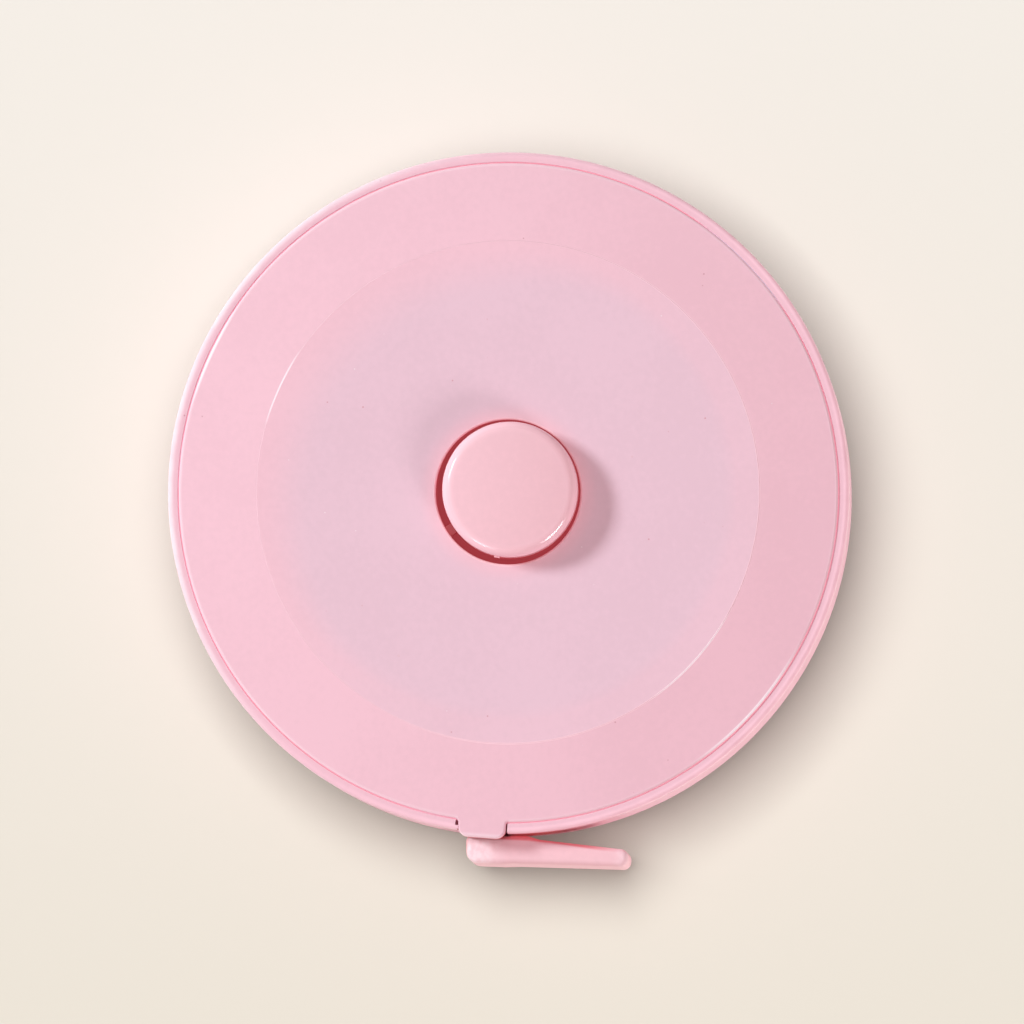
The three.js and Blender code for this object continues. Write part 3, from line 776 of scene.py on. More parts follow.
# Degrees that the light comes from and goes to, which place the painted light and shade, and where glints
# are painted
LIT_WAY = 140
FAR_WAY = -20
GLINT_DEGREES = (-42, 155)

# Places that the masks start from
SLOT_ROOT = 23.2 * MM
RIM_LIGHT_BOTTOM = 12.4 * MM
WEDGE_MIDDLE = 0.8 * MM
WEDGE_TOP = 10.7 * MM
WEDGE_BOTTOM = 5.0 * MM
WEDGE_WALL = 24.3 * MM


def from_axis(finish, centre=(0.0, 0.0)):
    """Distance from an upright axis."""
    moved = finish.add("ShaderNodeVectorMath", {0: finish.place, 1: (*centre, 0.0)},
                       operation="SUBTRACT").outputs["Vector"]
    flat = finish.add("ShaderNodeVectorMath", {0: moved, 1: (1.0, 1.0, 0.0)},
                      operation="MULTIPLY").outputs["Vector"]
    return finish.add("ShaderNodeVectorMath", {0: flat}, operation="LENGTH").outputs["Value"]


def along(finish, way):
    """Distance from the origin along a direction of the plan."""
    return finish.add("ShaderNodeVectorMath", {0: finish.place, 1: (way.x, way.y, 0.0)},
                      operation="DOT_PRODUCT").outputs["Value"]


def facing(finish, degrees, radius):
    """From -1 to 1 across a circle, towards an angle."""
    return finish.math("DIVIDE", along(finish, polar(1, math.radians(degrees))), radius)


def below(finish, top, fade):
    """One below a height, fading to nothing at it."""
    return finish.spread(finish.parts()["Z"], top, top - fade)


def above(finish, bottom, fade):
    """Nothing well below a height, growing to one at it."""
    return finish.math("SUBTRACT", 1.0, below(finish, bottom, fade))


def within(finish, value, start, full, last, end):
    """One from full to last, fading out to nothing at start and at end."""
    return both(finish, finish.spread(value, start, full), finish.spread(value, end, last))


def both(finish, *masks):
    """Where all the masks are."""
    result = masks[0]
    for mask in masks[1:]:
        result = finish.math("MULTIPLY", result, mask)
    return result


def towards(finish, degrees, wide, radius, most):
    """A ring's arc at an angle, which fades out over a width of degrees to both sides."""
    return finish.spread(facing(finish, degrees, radius), math.cos(math.radians(wide)),
                         math.cos(math.radians(0.2 * wide)), 0.0, most)


def painted_glint_arcs(finish, radius, arcs):
    """Two arcs of a ring where glints are painted, each with its width in degrees and its strength."""
    masks = [towards(finish, way, wide, radius, most) for way, (wide, most) in zip(GLINT_DEGREES, arcs)]
    return finish.math("MAXIMUM", *masks)


def near_slot(finish, case):
    """The tape slot and the tongue that fills it, in plan."""
    across = finish.math("ABSOLUTE", along(finish, polar(1, case.slot_angle + math.pi / 2)))
    side = case.slot_width / 2
    return both(finish, finish.spread(across, side + 0.1 * MM, side + 0.02 * MM),
                finish.spread(along(finish, polar(1, case.slot_angle)), SLOT_ROOT, SLOT_ROOT + 0.2 * MM))


def in_slot(finish, case):
    """Upper walls of the tape slot, in the shade of the tongue."""
    return both(finish, near_slot(finish, case), below(finish, case.rim_top - 0.05 * MM, 0.2 * MM),
                above(finish, LEDGE, 1.0 * MM))


def painted_shut(finish):
    """Random places where painted light hides the parting line's shade."""
    return finish.spread(finish.noise(85.0, 1.0), 0.46, 0.34)


def case_finish(colours, case):
    """Pink of the rear shell, with painted light on the rim's round, painted glow in the parting line, and
    painted red shade and glow in the slot and the wedge by the tab.
    """
    def layers(finish):
        radius = from_axis(finish)
        line = both(finish, within(finish, radius, WALL_INNER, WALL_INNER + 0.1 * MM,
                                   REBATE_RADIUS + 0.02 * MM, REBATE_RADIUS + 0.08 * MM),
                    below(finish, case.rim_top - 0.01 * MM, 0.06 * MM), above(finish, LEDGE, 0.5 * MM))
        far_side = facing(finish, FAR_WAY, case.radius)
        # Mottled outer round of the rim, where light is painted
        rim_light_band = both(finish, finish.spread(radius, case.radius - 0.55 * MM, case.radius - 0.2 * MM),
                    finish.spread(finish.noise(700.0, 3.0), 0.3, 0.7, 0.6, 0.95),
                    above(finish, RIM_LIGHT_BOTTOM, 1.0 * MM))
        pale = both(finish, rim_light_band, finish.spread(far_side, -0.6, 0.6, 0.1, 1.0))
        lit = both(finish, rim_light_band, finish.spread(far_side, -0.3, -0.9))
        beside = finish.math("SUBTRACT", along(finish, Vector((1, 0))), WEDGE_MIDDLE)
        beside = finish.spread(finish.math("ABSOLUTE", beside), 3.4 * MM, 1.8 * MM)
        wedge = both(finish, beside, below(finish, WEDGE_TOP, 0.6 * MM),
                     above(finish, WEDGE_BOTTOM, 2.0 * MM),
                     finish.spread(along(finish, Vector((0, -1))), WEDGE_WALL, WEDGE_WALL + 0.3 * MM))
        wall = below(finish, case.rim_top - 0.6 * MM, 0.5 * MM)
        return [(wall, solid(colours.band), NO_LIGHT, 0.6), (pale, *PAINTED_RIM_LIGHT), (lit, *PAINTED_RIM_HIGHLIGHT),
                (line, *LINE_GLOW), (both(finish, line, painted_shut(finish)), *LINE_SHADE_LIT_AWAY), (wedge, *WEDGE_SHADE_GLOW),
                (in_slot(finish, case), *SLOT_SHADE_GLOW)]

    return moulded("case_pink", lambda finish, level: solid(colours.band, level), layers,
                   gloss=0.28, sheen=0.3)


def cover_finish(colours, case):
    """Pink of the cover, with the flat disc a little nearer to lilac than the band, and painted light,
    shade, glow and glints at its hole, crease, edge and tongue.
    """
    def base(finish, level):
        # Painted light: the lilac starts at the crease on the far side, and fades in more slowly on the
        # side the light comes from
        lit_side = facing(finish, LIT_WAY, case.crease_radius)
        soft = finish.spread(lit_side, 0.1, 1.0, 3.0 * MM, 5.0 * MM)
        inset = finish.math("SUBTRACT", case.crease_radius + 0.05 * MM, from_axis(finish))
        firm = both(finish, finish.spread(inset, 0.0, 0.15 * MM),
                    finish.spread(lit_side, 0.5, -0.3, 0.0, 0.6))
        inside = finish.math("MAXIMUM", firm, finish.spread(finish.math("DIVIDE", inset, soft), 0.0, 1.0))
        return finish.mix(inside, solid(colours.band, level), solid(colours.disc, level))

    def layers(finish):
        radius, hole, rim = from_axis(finish), case.hole_radius, case.cover_radius
        halo = finish.math("MULTIPLY", finish.spread(radius, hole + 1.5 * MM, hole), 0.3)
        lip = finish.spread(radius, hole + 0.22 * MM, hole + 0.1 * MM)
        # Painted shade on the crease, with painted light on its far side
        crease = finish.math("ABSOLUTE", finish.math("SUBTRACT", radius, case.crease_radius))
        crease = finish.spread(crease, 0.09 * MM, 0.03 * MM, 0.0, 0.6)
        far_side = finish.spread(facing(finish, FAR_WAY, case.crease_radius), -0.5, 0.5)
        # Painted glints on the crease
        wear_and_glint = painted_glint_arcs(finish, case.crease_radius, ((15, 0.95), (10, 0.9)))
        # Painted glints on the cover's edge
        outer = painted_glint_arcs(finish, rim, ((16, 0.75), (12, 0.8)))
        lip_edge = within(finish, radius, rim - 0.3 * MM, rim - 0.18 * MM, rim - 0.1 * MM, rim - 0.04 * MM)
        plain = finish.math("SUBTRACT", 1.0, near_slot(finish, case))
        # Painted light along the cover's edge
        edge = both(finish, plain, finish.spread(radius, rim - 0.3 * MM, rim - 0.12 * MM, 0.0, 0.5))
        # Painted light on the tongue's tip
        tip = finish.spread(along(finish, polar(1, case.slot_angle)), case.tongue_reach - 0.42 * MM,
                            case.tongue_reach - 0.12 * MM, 0.0, 0.8)
        tip = both(finish, tip, near_slot(finish, case), above(finish, case.rim_top - 0.25 * MM, 0.3 * MM))
        # Painted red shade and glow down the bore
        bore = both(finish, finish.spread(radius, hole + 0.3 * MM, hole),
                    below(finish, case.face - 0.14 * MM, 0.25 * MM))
        line = both(finish, within(finish, radius, rim - 0.08 * MM, rim - 0.02 * MM,
                                   rim + 0.06 * MM, rim + 0.12 * MM),
                    below(finish, case.rim_top + 0.03 * MM, 0.06 * MM))
        # Painted slot shade under the cover's edge
        under = both(finish, finish.spread(radius, rim, rim + 0.1 * MM),
                     below(finish, case.rim_top - 0.3 * MM, 0.3 * MM))
        return [(halo, *PAINTED_HALO), (lip, *PAINTED_LIP_LIGHT), (bore, *GAP_SHADE_GLOW), (crease, *CREASE_PAINTED_SHADE),
                (both(finish, crease, far_side), *CREASE_PAINTED_LIGHT),
                (both(finish, crease, wear_and_glint), *PAINTED_GLINT), (edge, *PAINTED_EDGE_LIGHT),
                (both(finish, lip_edge, outer), *PAINTED_GLINT), (tip, *PAINTED_EDGE_LIGHT), (line, *LINE_GLOW),
                (both(finish, line, painted_shut(finish)), *LINE_SHADE_LIT_AWAY), (under, *SLOT_SHADE_GLOW)]

    return moulded("cover_pink", base, layers, gloss=0.2)


# Printed lines in millimetres: spacing, length and weight
MARKS = ((1.0, 1.6, 0.16), (5.0, 2.4, 0.2), (10.0, 3.4, 0.26))
RULE_START = 10.0  # metres added, so that the count stays above zero
WEAVE_LINES = 900.0


def cloth_finish(name, colours, printed):
    """Coated cloth: a fine weave under the coating, with printed graduations where it runs out."""
    finish = Finish(name, Roughness=0.55, Sheen_Weight=0.15, Sheen_Roughness=0.5)
    warp, weft = (finish.add("ShaderNodeTexWave", {
        "Vector": finish.place, "Scale": WEAVE_LINES, "Distortion": 0.4},
        bands_direction=way).outputs["Fac"] for way in ("Z", "X"))
    tone = finish.mix(finish.spread(finish.noise(300.0, 3.0), 0.3, 0.7),
                      solid(colours.tape, 0.97), solid(colours.tape, 1.02))
    if printed:
        tone = finish.mix(printed(finish), tone, solid(colours.ink))
    finish.set("Base Color", tone)
    finish.bump(finish.math("ADD", warp, weft), 0.02 * MM, 0.6)
    return finish.material


def graduations(finish):
    """Printed lines along the run: millimetres, longer at each half and whole centimetre."""
    parts = finish.parts()
    walked = finish.math("ADD", parts["X"], RULE_START)
    from_edge = finish.math("SUBTRACT", WINDING_HIGH.z, parts["Z"])
    lines = 0.0
    for spacing, reach, weight in MARKS:
        step = finish.math("PINGPONG", walked, spacing / 2 * MM)
        line = both(finish, finish.math("LESS_THAN", step, weight / 2 * MM),
                    finish.math("LESS_THAN", from_edge, reach * MM))
        lines = finish.math("MAXIMUM", lines, line)
    return lines


def reel_finish(colours):
    """Plain white moulding with faint turning rings and a dull surface."""
    finish = Finish("reel_white", Subsurface_Weight=0.1, Subsurface_Radius=(1.0, 0.9, 0.8),
                    Subsurface_Scale=0.5 * MM)
    cloud = finish.spread(finish.noise(160.0, 3.0), 0.3, 0.7)
    finish.set("Base Color", finish.mix(cloud, solid(colours.reel, 0.97), solid(colours.reel, 1.02)))
    finish.set("Roughness", finish.spread(finish.noise(600.0, 2.0), 0.3, 0.7, 0.42, 0.54))
    rings = finish.add("ShaderNodeTexWave", {"Vector": finish.place, "Scale": 420.0, "Distortion": 0.6},
                       wave_type="RINGS", rings_direction="Z")
    finish.bump(rings.outputs["Fac"], 0.01 * MM, 0.5)
    return finish.material


def steel_finish(colours):
    """Rolled spring steel with fine drawn lines and a slight blue bloom."""
    finish = Finish("spring_steel", Metallic=1.0)
    lines = finish.noise(1.0, 3.0, finish.mapped((300.0, 300.0, 9000.0)))
    bloom = finish.spread(finish.noise(250.0, 2.0), 0.35, 0.7)
    finish.set("Base Color", finish.mix(bloom, solid(colours.steel),
                                        tinted(colours.steel, 0.86, 0.92, 1.08)))
    finish.set("Roughness", finish.spread(lines, 0.3, 0.7, 0.22, 0.4))
    finish.bump(lines, 0.004 * MM, 0.5)
    return finish.material


def rubber_finish(colours):
    """Matt black rubber with a fine grain and a little dust."""
    finish = Finish("brake_rubber")
    dust = finish.spread(finish.noise(700.0, 4.0), 0.55, 0.8, 0.0, 0.35)
    finish.set("Base Color", finish.mix(dust, solid(colours.rubber), solid(colours.rubber, 4.0)))
    finish.set("Roughness", finish.spread(finish.noise(1500.0, 2.0), 0.3, 0.7, 0.75, 0.9))
    finish.bump(finish.noise(3200.0, 2.0), 0.02 * MM, 0.6)
    return finish.material


# Case

def band_fall(case, radius):
    """Height of the sloping band below its flat disc, at a radius."""
    return case.band_drop * (radius - case.crease_radius) / (case.cover_radius - case.crease_radius)


def cover_outline(case, steps=300):
    """Plan points of the cover's edge: a circle with the rounded tongue that fills the slot."""
    side = case.tongue_width / 2
    close = case.slot_width / 2 + 0.02 * MM
    root = math.sqrt(case.cover_radius ** 2 - side ** 2)
    soft, tight = 0.3 * MM, 0.12 * MM
    corners = [(root, -close, soft), (case.tongue_reach, -close, case.tongue_round),
               (case.tongue_reach, side, case.tongue_round), (root, side, tight)]
    spare = 0.004  # radians left between the circle's ends and the tongue's rounds
    first = (side + 2 * tight) / case.cover_radius + spare
    last = 2 * math.pi - (close + 1.5 * soft) / case.cover_radius - spare
    for i in range(steps + 1):
        point = polar(case.cover_radius, first + (last - first) * i / steps)
        corners.append((point.x, point.y, 0))
    turn = Matrix.Rotation(case.slot_angle, 2)
    return [turn @ point for point in rounded(corners, closed=True, most=0.64)]


def cover_profile(case):
    """Closed (radius, height) section of the cover: disc, band, edge, skirt, rib and collar."""
    collar_bottom = COVER_LOW.z
    underside = case.face - COVER_WALL
    small, step = SMALL_ROUND, case.crease_step
    foot = case.crease_radius + step
    bevel = case.cover_radius - case.edge_bevel - 0.05 * MM
    corners = [
        (case.hole_radius, collar_bottom, small),
        (case.hole_radius, case.face, case.hole_round),
        (case.crease_radius - step, case.face, step),
        (foot, case.face - 1.4 * step - band_fall(case, foot), step),
        (bevel, case.face - band_fall(case, bevel), small),
        (case.cover_radius - 0.05 * MM, case.face - band_fall(case, bevel) - 0.06 * MM, 0.08 * MM),
        (case.cover_radius, case.rim_top - 0.03 * MM, 0.0),
        (case.cover_radius, PARTING_TOP, 0.0),
        (REBATE_RADIUS - 0.01 * MM, PARTING_TOP - 0.1 * MM, 0.0),
        (REBATE_RADIUS - 0.01 * MM, EDGE_BOTTOM, small),
        (SKIRT_OUTER, EDGE_BOTTOM, 0.0),
        (SKIRT_OUTER, SKIRT_BOTTOM, small),
        (SKIRT_INNER, SKIRT_BOTTOM, small),
        (SKIRT_INNER, underside - band_fall(case, SKIRT_INNER), 3 * small),
        (case.crease_radius, underside, case.crease_round),
        (RIB_OUTER, underside, small),
        (RIB_OUTER, RIB_BOTTOM, small),
        (RIB_INNER, RIB_BOTTOM, small),
        (RIB_INNER, underside, small),
        (COLLAR_RADIUS, underside, 2 * small),
        (COLLAR_RADIUS, collar_bottom, small),
    ]
    return braced(rounded(corners, closed=True, step=math.radians(15)), closed=True, gap=0.06 * MM)


def cover_mesh(case):
    """The front cover, whose outer rings follow the edge and the tongue."""
    outline = cover_outline(case)
    normals = plan_normals(outline)
    turns = [math.atan2(point.y, point.x) for point in outline]
    join = SKIRT_INNER - 0.2 * MM  # inside it, the rings are plain circles
    firm = 0.42 * MM  # within it of the edge, the rings follow the outline
    under = 0.12 * MM  # inside it, the underside runs in to the skirt
    root = 0.4 * MM  # over it, the tongue grows to its full depth
    edge_top = case.face - case.band_drop
    tongue_drop = EDGE_BOTTOM - TONGUE_BOTTOM
    out = [min(1.0, max(0.0, (point.length - case.cover_radius) / root)) for point in outline]

    def ring_point(radius, height, i):
        """Where a point of the section lies at one place of the outline."""
        if radius <= join or height < EDGE_BOTTOM - TINY:
            return polar(radius, turns[i]), 0.0
        inset = case.cover_radius - radius
        low = max(0.0, min(1.0, (edge_top - height) / (edge_top - EDGE_BOTTOM)))
        if height < EDGE_BOTTOM + TINY and inset > under:
            part = inset / (case.cover_radius - SKIRT_OUTER)
            plan = outline[i].lerp(polar(SKIRT_OUTER, turns[i]), min(1.0, part))
            return plan, out[i] * tongue_drop
        if inset <= firm:
            plan = outline[i] - normals[i] * (inset if inset > 0 else inset * (1 - out[i]))
        else:
            inner = outline[i] - normals[i] * firm
            part = (inset - firm) / (case.cover_radius - join - firm)
            plan = inner.lerp(polar(join, turns[i]), part)
        top_drop = band_fall(case, plan.length) - band_fall(case, radius)
        return plan, top_drop * (1 - low) + out[i] * tongue_drop * low

    rings = []
    for radius, height in cover_profile(case):
        ring = []
        for i in range(len(outline)):
            plan, drop = ring_point(radius, height, i)
            ring.append((plan.x, plan.y, height - drop))
        rings.append(ring)
    return skin("cover_shell", rings, loop=True)


def key_finish(colours):
    """Pink of the collar's keys, with painted red shade and glow where they stand in the dark of the bore.
    """
    def layers(finish):
        dark = finish.spread(along(finish, polar(1, KEY_ANGLE)), 3.0 * MM, 2.0 * MM)
        return [(dark, *GAP_SHADE_GLOW)]

    return moulded("key_pink", lambda finish, level: tinted(colours.band, 1.0, 0.62, 0.62), layers)


class TAPEMEASURE_OT_cover(bpy.types.Operator):
    """Front cover with its disc, sloping band, collar and tongue"""

    bl_idname = "tapemeasure.cover"
    bl_label = "Front cover"

    def execute(self, context):
        settings = context.scene.tape_measure
        finish = cover_finish(settings.colours, settings.case)
        place_piece("cover_shell", cover_mesh(settings.case), finish, "case",
                    ["front_cover"])
        deep = key_finish(settings.colours)
        keys = grown("collar_keys", key_tree("Keys in a bore", deep), {
            "Count": KEY_COUNT, "Start": KEY_ANGLE, "Width": KEY_WIDTH,
            "Radius": settings.case.hole_radius + (KEY_ROOT - KEY_REACH) / 2,
            "Reach": KEY_REACH + KEY_ROOT, "Height": KEY_TOP - COVER_LOW.z - 2 * KEY_SHY})
        keys.transform(Matrix.Translation((0, 0, (KEY_TOP + COVER_LOW.z) / 2)))
        place_piece("collar_keys", keys, deep, "case")
        return {"FINISHED"}


def shell_mesh(case):
    """The rear shell: a cup with the keyed centre post and the tape slot."""
    small = SMALL_ROUND
    profile = [
        (0.0, MARK_DEPTH, 0.0),
        (MARK_FOOT, MARK_DEPTH, 2 * small),
        (MARK_EDGE, 0.0, 2 * small),
        (case.crease_radius, 0.0, case.crease_round),
        (case.radius - case.draft, band_fall(case, case.radius), case.back_round),
        (case.radius, case.rim_top, case.rim_round),
        (REBATE_RADIUS, case.rim_top, 0.5 * small),
        (REBATE_RADIUS, LEDGE, small),
        (WALL_INNER, LEDGE, small),
        (WALL_INNER, FLOOR_WALL + band_fall(case, WALL_INNER), 5 * small),
        (case.crease_radius, FLOOR_WALL, case.crease_round),
        (BOSS_RADIUS, FLOOR_WALL, 2 * small),
        (BOSS_RADIUS, BOSS_TOP, small),
        (POST_RADIUS, BOSS_TOP, 2 * small),
        (POST_RADIUS, POST_TOP, 1.5 * small),
        (PIP_RADIUS, POST_TOP, small),
        (PIP_RADIUS, PIP_TOP, 0.5 * MM),
        (0.0, PIP_TOP, 0.0),
    ]
    points = braced(rounded(profile, step=math.radians(9)), closed=False, gap=0.06 * MM)
    cup = turned("cup_shell", points, segments=288)
    slot = radial_block("slot", case.slot_angle, SKIRT_OUTER, case.radius, case.slot_width,
                        SLOT_BOTTOM, case.face, flare=SLOT_FLARE)
    keyway = radial_block("keyway", POWER_ANGLE, KEYWAY_FOOT, POST_RADIUS + 1.0 * MM, KEYWAY_WIDTH,
                          REEL_FLOOR, POST_TOP + 1.0 * MM)
    notch = radial_block("notch", case.slot_angle - (case.slot_width / 2 + NOTCH_STEP) / REBATE_RADIUS,
                         SKIRT_OUTER, REBATE_RADIUS + NOTCH_REACH, NOTCH_WIDTH, LEDGE + 0.1 * MM, case.face)
    return combined(cup, [slot, keyway, notch], "DIFFERENCE")


class TAPEMEASURE_OT_shell(bpy.types.Operator):
    """Rear shell with the rim, the tape slot and the centre post"""

    bl_idname = "tapemeasure.shell"
    bl_label = "Rear shell"

    def execute(self, context):
        settings = context.scene.tape_measure
        place_piece("cup_shell", shell_mesh(settings.case), case_finish(settings.colours, settings.case),
                    "case", ["rear_shell"])
        return {"FINISHED"}


# Button

def button_mesh(button, case):
    """The push button: crowned cap, brake flange, spring hollow, key grooves and gate mark."""
    centre = Vector(BUTTON_MIDDLE)
    flange = (BUTTON_HIGH.x - BUTTON_LOW.x) / 2
    small = SMALL_ROUND
    shoulder = button.radius - button.edge_round

    def crown(radius):
        return button.top - button.crown * (radius / shoulder) ** 2

    corners = [(shoulder * i / 12, crown(shoulder * i / 12), 0) for i in range(11)]
    slope = 2 * button.crown / shoulder
    edge_height = crown(shoulder) - slope * button.edge_round
    corners += [
        (button.radius, edge_height, button.edge_round),
        (button.radius, BUTTON_FLANGE_TOP, small),
        (flange, BUTTON_FLANGE_TOP, small),
        (flange, BUTTON_LOW.z, small),
        (BUTTON_HOLLOW, BUTTON_LOW.z, small),
        (BUTTON_HOLLOW, BUTTON_HOLLOW_TOP, small),
        (SPRING_SEAT, BUTTON_HOLLOW_TOP, small),
        (SPRING_SEAT, BUTTON_UNDERSIDE, small),
        (0.0, BUTTON_UNDERSIDE, 0.0),
    ]
    points = braced(rounded(corners, step=math.radians(7)), closed=False, gap=0.08 * MM)
    cap = turned("button_cap", points, segments=192, centre=centre)
    grooves = []
    for key in range(KEY_COUNT):
        turn = KEY_ANGLE + 2 * math.pi * key / KEY_COUNT
        groove = radial_block("groove", turn, GROOVE_FOOT, button.radius + 1.0 * MM, GROOVE_WIDTH,
                              BUTTON_FLANGE_TOP + SEAT_GAP, GROOVE_TOP)
        groove.transform(Matrix.Translation((centre.x, centre.y, 0)))
        grooves.append(groove)
    nub = radial_block("nub", GATE_ANGLE, button.radius - GATE_ROOT, button.radius + GATE_PROUD,
                       GATE_WIDTH, case.face - GATE_DEPTH, case.face + GATE_RISE)
    nub.transform(Matrix.Translation((centre.x, centre.y, 0)))
    return combined(combined(cap, grooves, "DIFFERENCE"), [nub], "UNION")


def coil_path(button, bottom, top, steps=48):
    """Middle line of the button's spring."""
    count = button.coil_turns * steps
    points = []
    for i in range(count + 1):
        plan = polar(button.coil_radius, 2 * math.pi * i / steps)
        points.append((plan.x, plan.y, bottom + (top - bottom) * i / count))
    return points


def button_finish(colours, button, face):
    """Pink of the button, with a painted glow on its rounded edge, and painted red shade and glow down in
    its hole.
    """
    def layers(finish):
        # Painted glow on the button's rounded edge
        edge = finish.spread(from_axis(finish, BUTTON_MIDDLE), button.radius - 0.95 * MM,
                             button.radius - 0.2 * MM)
        return [(edge, solid(colours.button), BUTTON_GLOW, 0.1),
                (below(finish, face + 0.3 * MM, 0.6 * MM), *GAP_SHADE_GLOW)]

    return moulded("button_pink", lambda finish, level: solid(colours.button, level), layers, gloss=0.6)


class TAPEMEASURE_OT_button(bpy.types.Operator):
    """Push button with its coil spring"""

    bl_idname = "tapemeasure.button"
    bl_label = "Push button"

    def execute(self, context):
        settings = context.scene.tape_measure
        button = settings.button
        finish = button_finish(settings.colours, button, settings.case.face)
        place_piece("button_cap", button_mesh(button, settings.case), finish, "button",
                    ["push_button"])
        half = button.wire / 2
        low, high = POST_TOP + SEAT_GAP + half, BUTTON_UNDERSIDE - SEAT_GAP - half
        steel = steel_finish(settings.colours)
        coil = grown("button_coil", path_tree("Wire along a path", steel, flat=False),
                     {"Wire": button.wire}, coil_path(button, low, high))
        piece = place_piece("button_coil", coil, steel, "case", ["button_spring"])
        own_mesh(piece)
        return {"FINISHED"}


# Tape and tab

def tab_ways(tab):
    """Directions of the plan along the tab to its tip, and out from the case."""
    return polar(1, -tab.tilt), polar(1, -tab.tilt - math.pi / 2)


def tape_way(settings):
    """The slot, the angle where the tape leaves the winding, and its way from there to the slot."""
    case = settings.case
    slot = polar((case.radius + WALL_INNER) / 2, case.slot_angle)
    leave = case.slot_angle - math.acos(settings.tape.wind_end / slot.length)
    return slot, leave, polar(1, leave + math.pi / 2)


def to_mouth(settings, part):
    """Point of the tape's run, at a part of the way from the slot to the tab's mouth."""
    slot, _, way = tape_way(settings)
    _, tab_out = tab_ways(settings.tab)
    mouth = (settings.tab.near - slot.dot(tab_out)) / way.dot(tab_out)
    return slot + way * mouth * part


def run_path(settings):
    """Middle line of the tape from the winding, through the slot, to its end inside the tab."""
    slot, leave, way = tape_way(settings)
    tab_way, tab_out = tab_ways(settings.tab)
    depth = TAB_POCKET_DEPTH
    bend = slot + way * ((depth - slot.dot(tab_out)) / way.dot(tab_out))
    cut = LEAD_BEND * math.tan(way.angle(tab_way) / 2)
    start, end = bend - way * cut, bend + tab_way * cut
    points = [polar(settings.tape.wind_end, leave), slot]
    for i in range(CLOSE_STEPS + 1):
        points.append(to_mouth(settings, CLOSE_FROM + CLOSE_SPAN * i / CLOSE_STEPS))
    for i in range(BEND_STEPS + 1):
        part = i / BEND_STEPS
        points.append(start.lerp(bend, part).lerp(bend.lerp(end, part), part))
    points.append(tab_out * depth + tab_way * LEAD_END)
    return at_height(points, TAPE_MIDDLE)


def winding_path(settings, steps=96):
    """Plan points of the turns on the reel, from the barrel outwards, and the angle of the first."""
    tape = settings.tape
    leave = tape_way(settings)[1]
    turns = (tape.wind_end - tape.wind_start) / tape.wind_pitch
    tail = leave - 2 * math.pi * turns
    count = math.floor((turns - tape.end_gap / tape.wind_end / (2 * math.pi)) * steps)
    return spiral(tape.wind_start, tape.wind_pitch, tail, count, steps), tail


class TAPEMEASURE_OT_winding(bpy.types.Operator):
    """Cloth tape wound on the reel, with its inner end tucked into the barrel"""

    bl_idname = "tapemeasure.winding"
    bl_label = "Wound tape"

    def execute(self, context):
        settings = context.scene.tape_measure
        cloth = cloth_finish("tape_cloth", settings.colours, None)
        tree = path_tree("Strip on edge", cloth, flat=True)
        plan, tail = winding_path(settings)
        thickness = settings.tape.thickness
        turns = grown("wound_tape", tree, {"Thickness": thickness, "Width": TAPE_WIDTH},
                      at_height(plan, TAPE_MIDDLE))
        tucked = [polar(BARREL_INNER + RUN_GAP, tail), plan[0]]
        top = WINDING_HIGH.z - TUCK_DROP
        tuck = grown("tuck", tree, {"Thickness": thickness, "Width": top - TUCK_BOTTOM},
                     at_height(tucked, (TUCK_BOTTOM + top) / 2))
        place_piece("wound_tape", combined(turns, [tuck], "UNION"), cloth, "reel",
                    ["tape_winding"])
        return {"FINISHED"}


class TAPEMEASURE_OT_run(bpy.types.Operator):
    """Run of the tape from the winding to the tab, which draws out with it"""

    bl_idname = "tapemeasure.run"
    bl_label = "Tape run"

    def execute(self, context):
        settings = context.scene.tape_measure
        cloth = cloth_finish("tape_printed", settings.colours, graduations)
        strip = grown("tape_run", path_tree("Strip on edge, printed", cloth, flat=True), {
            "Thickness": settings.tape.thickness, "Width": TAPE_WIDTH}, run_path(settings))
        piece = place_piece("tape_run", strip, cloth, replaced=["tape_lead"])
        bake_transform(piece)
        return {"FINISHED"}


def tab_outline(tab):
    """Plan points of the pull tab: flat on the case side, beaded at its root and round at its tip."""
    far = tab.near + tab.thickness
    tip_round = (tab.thickness - tab.thinning - tab.taper) / 2 * 0.9
    corners = [
        (-tab.root, tab.near, 0.46 * MM),
        (2.7 * MM, tab.near - 0.14 * MM, 1.0 * MM),
        (3.5 * MM, tab.near + 0.08 * MM, 1.5 * MM),
        (tab.tip, tab.near + tab.thinning, tip_round),
        (tab.tip, far - tab.taper, tip_round),
        (2.0 * MM, far - 0.02 * MM, 3.0 * MM),
        (0.9 * MM, far + 0.3 * tab.bead, 2.0 * MM),
        (-tab.root + 0.12 * MM, far + 0.4 * tab.bead, 0.85 * MM),
    ]
    points = rounded(corners, closed=True, step=math.radians(6))
    way, out = tab_ways(tab)
    plan = [way * point.x + out * point.y for point in braced(points, closed=True, gap=0.15 * MM)]
    return list(reversed(plan))


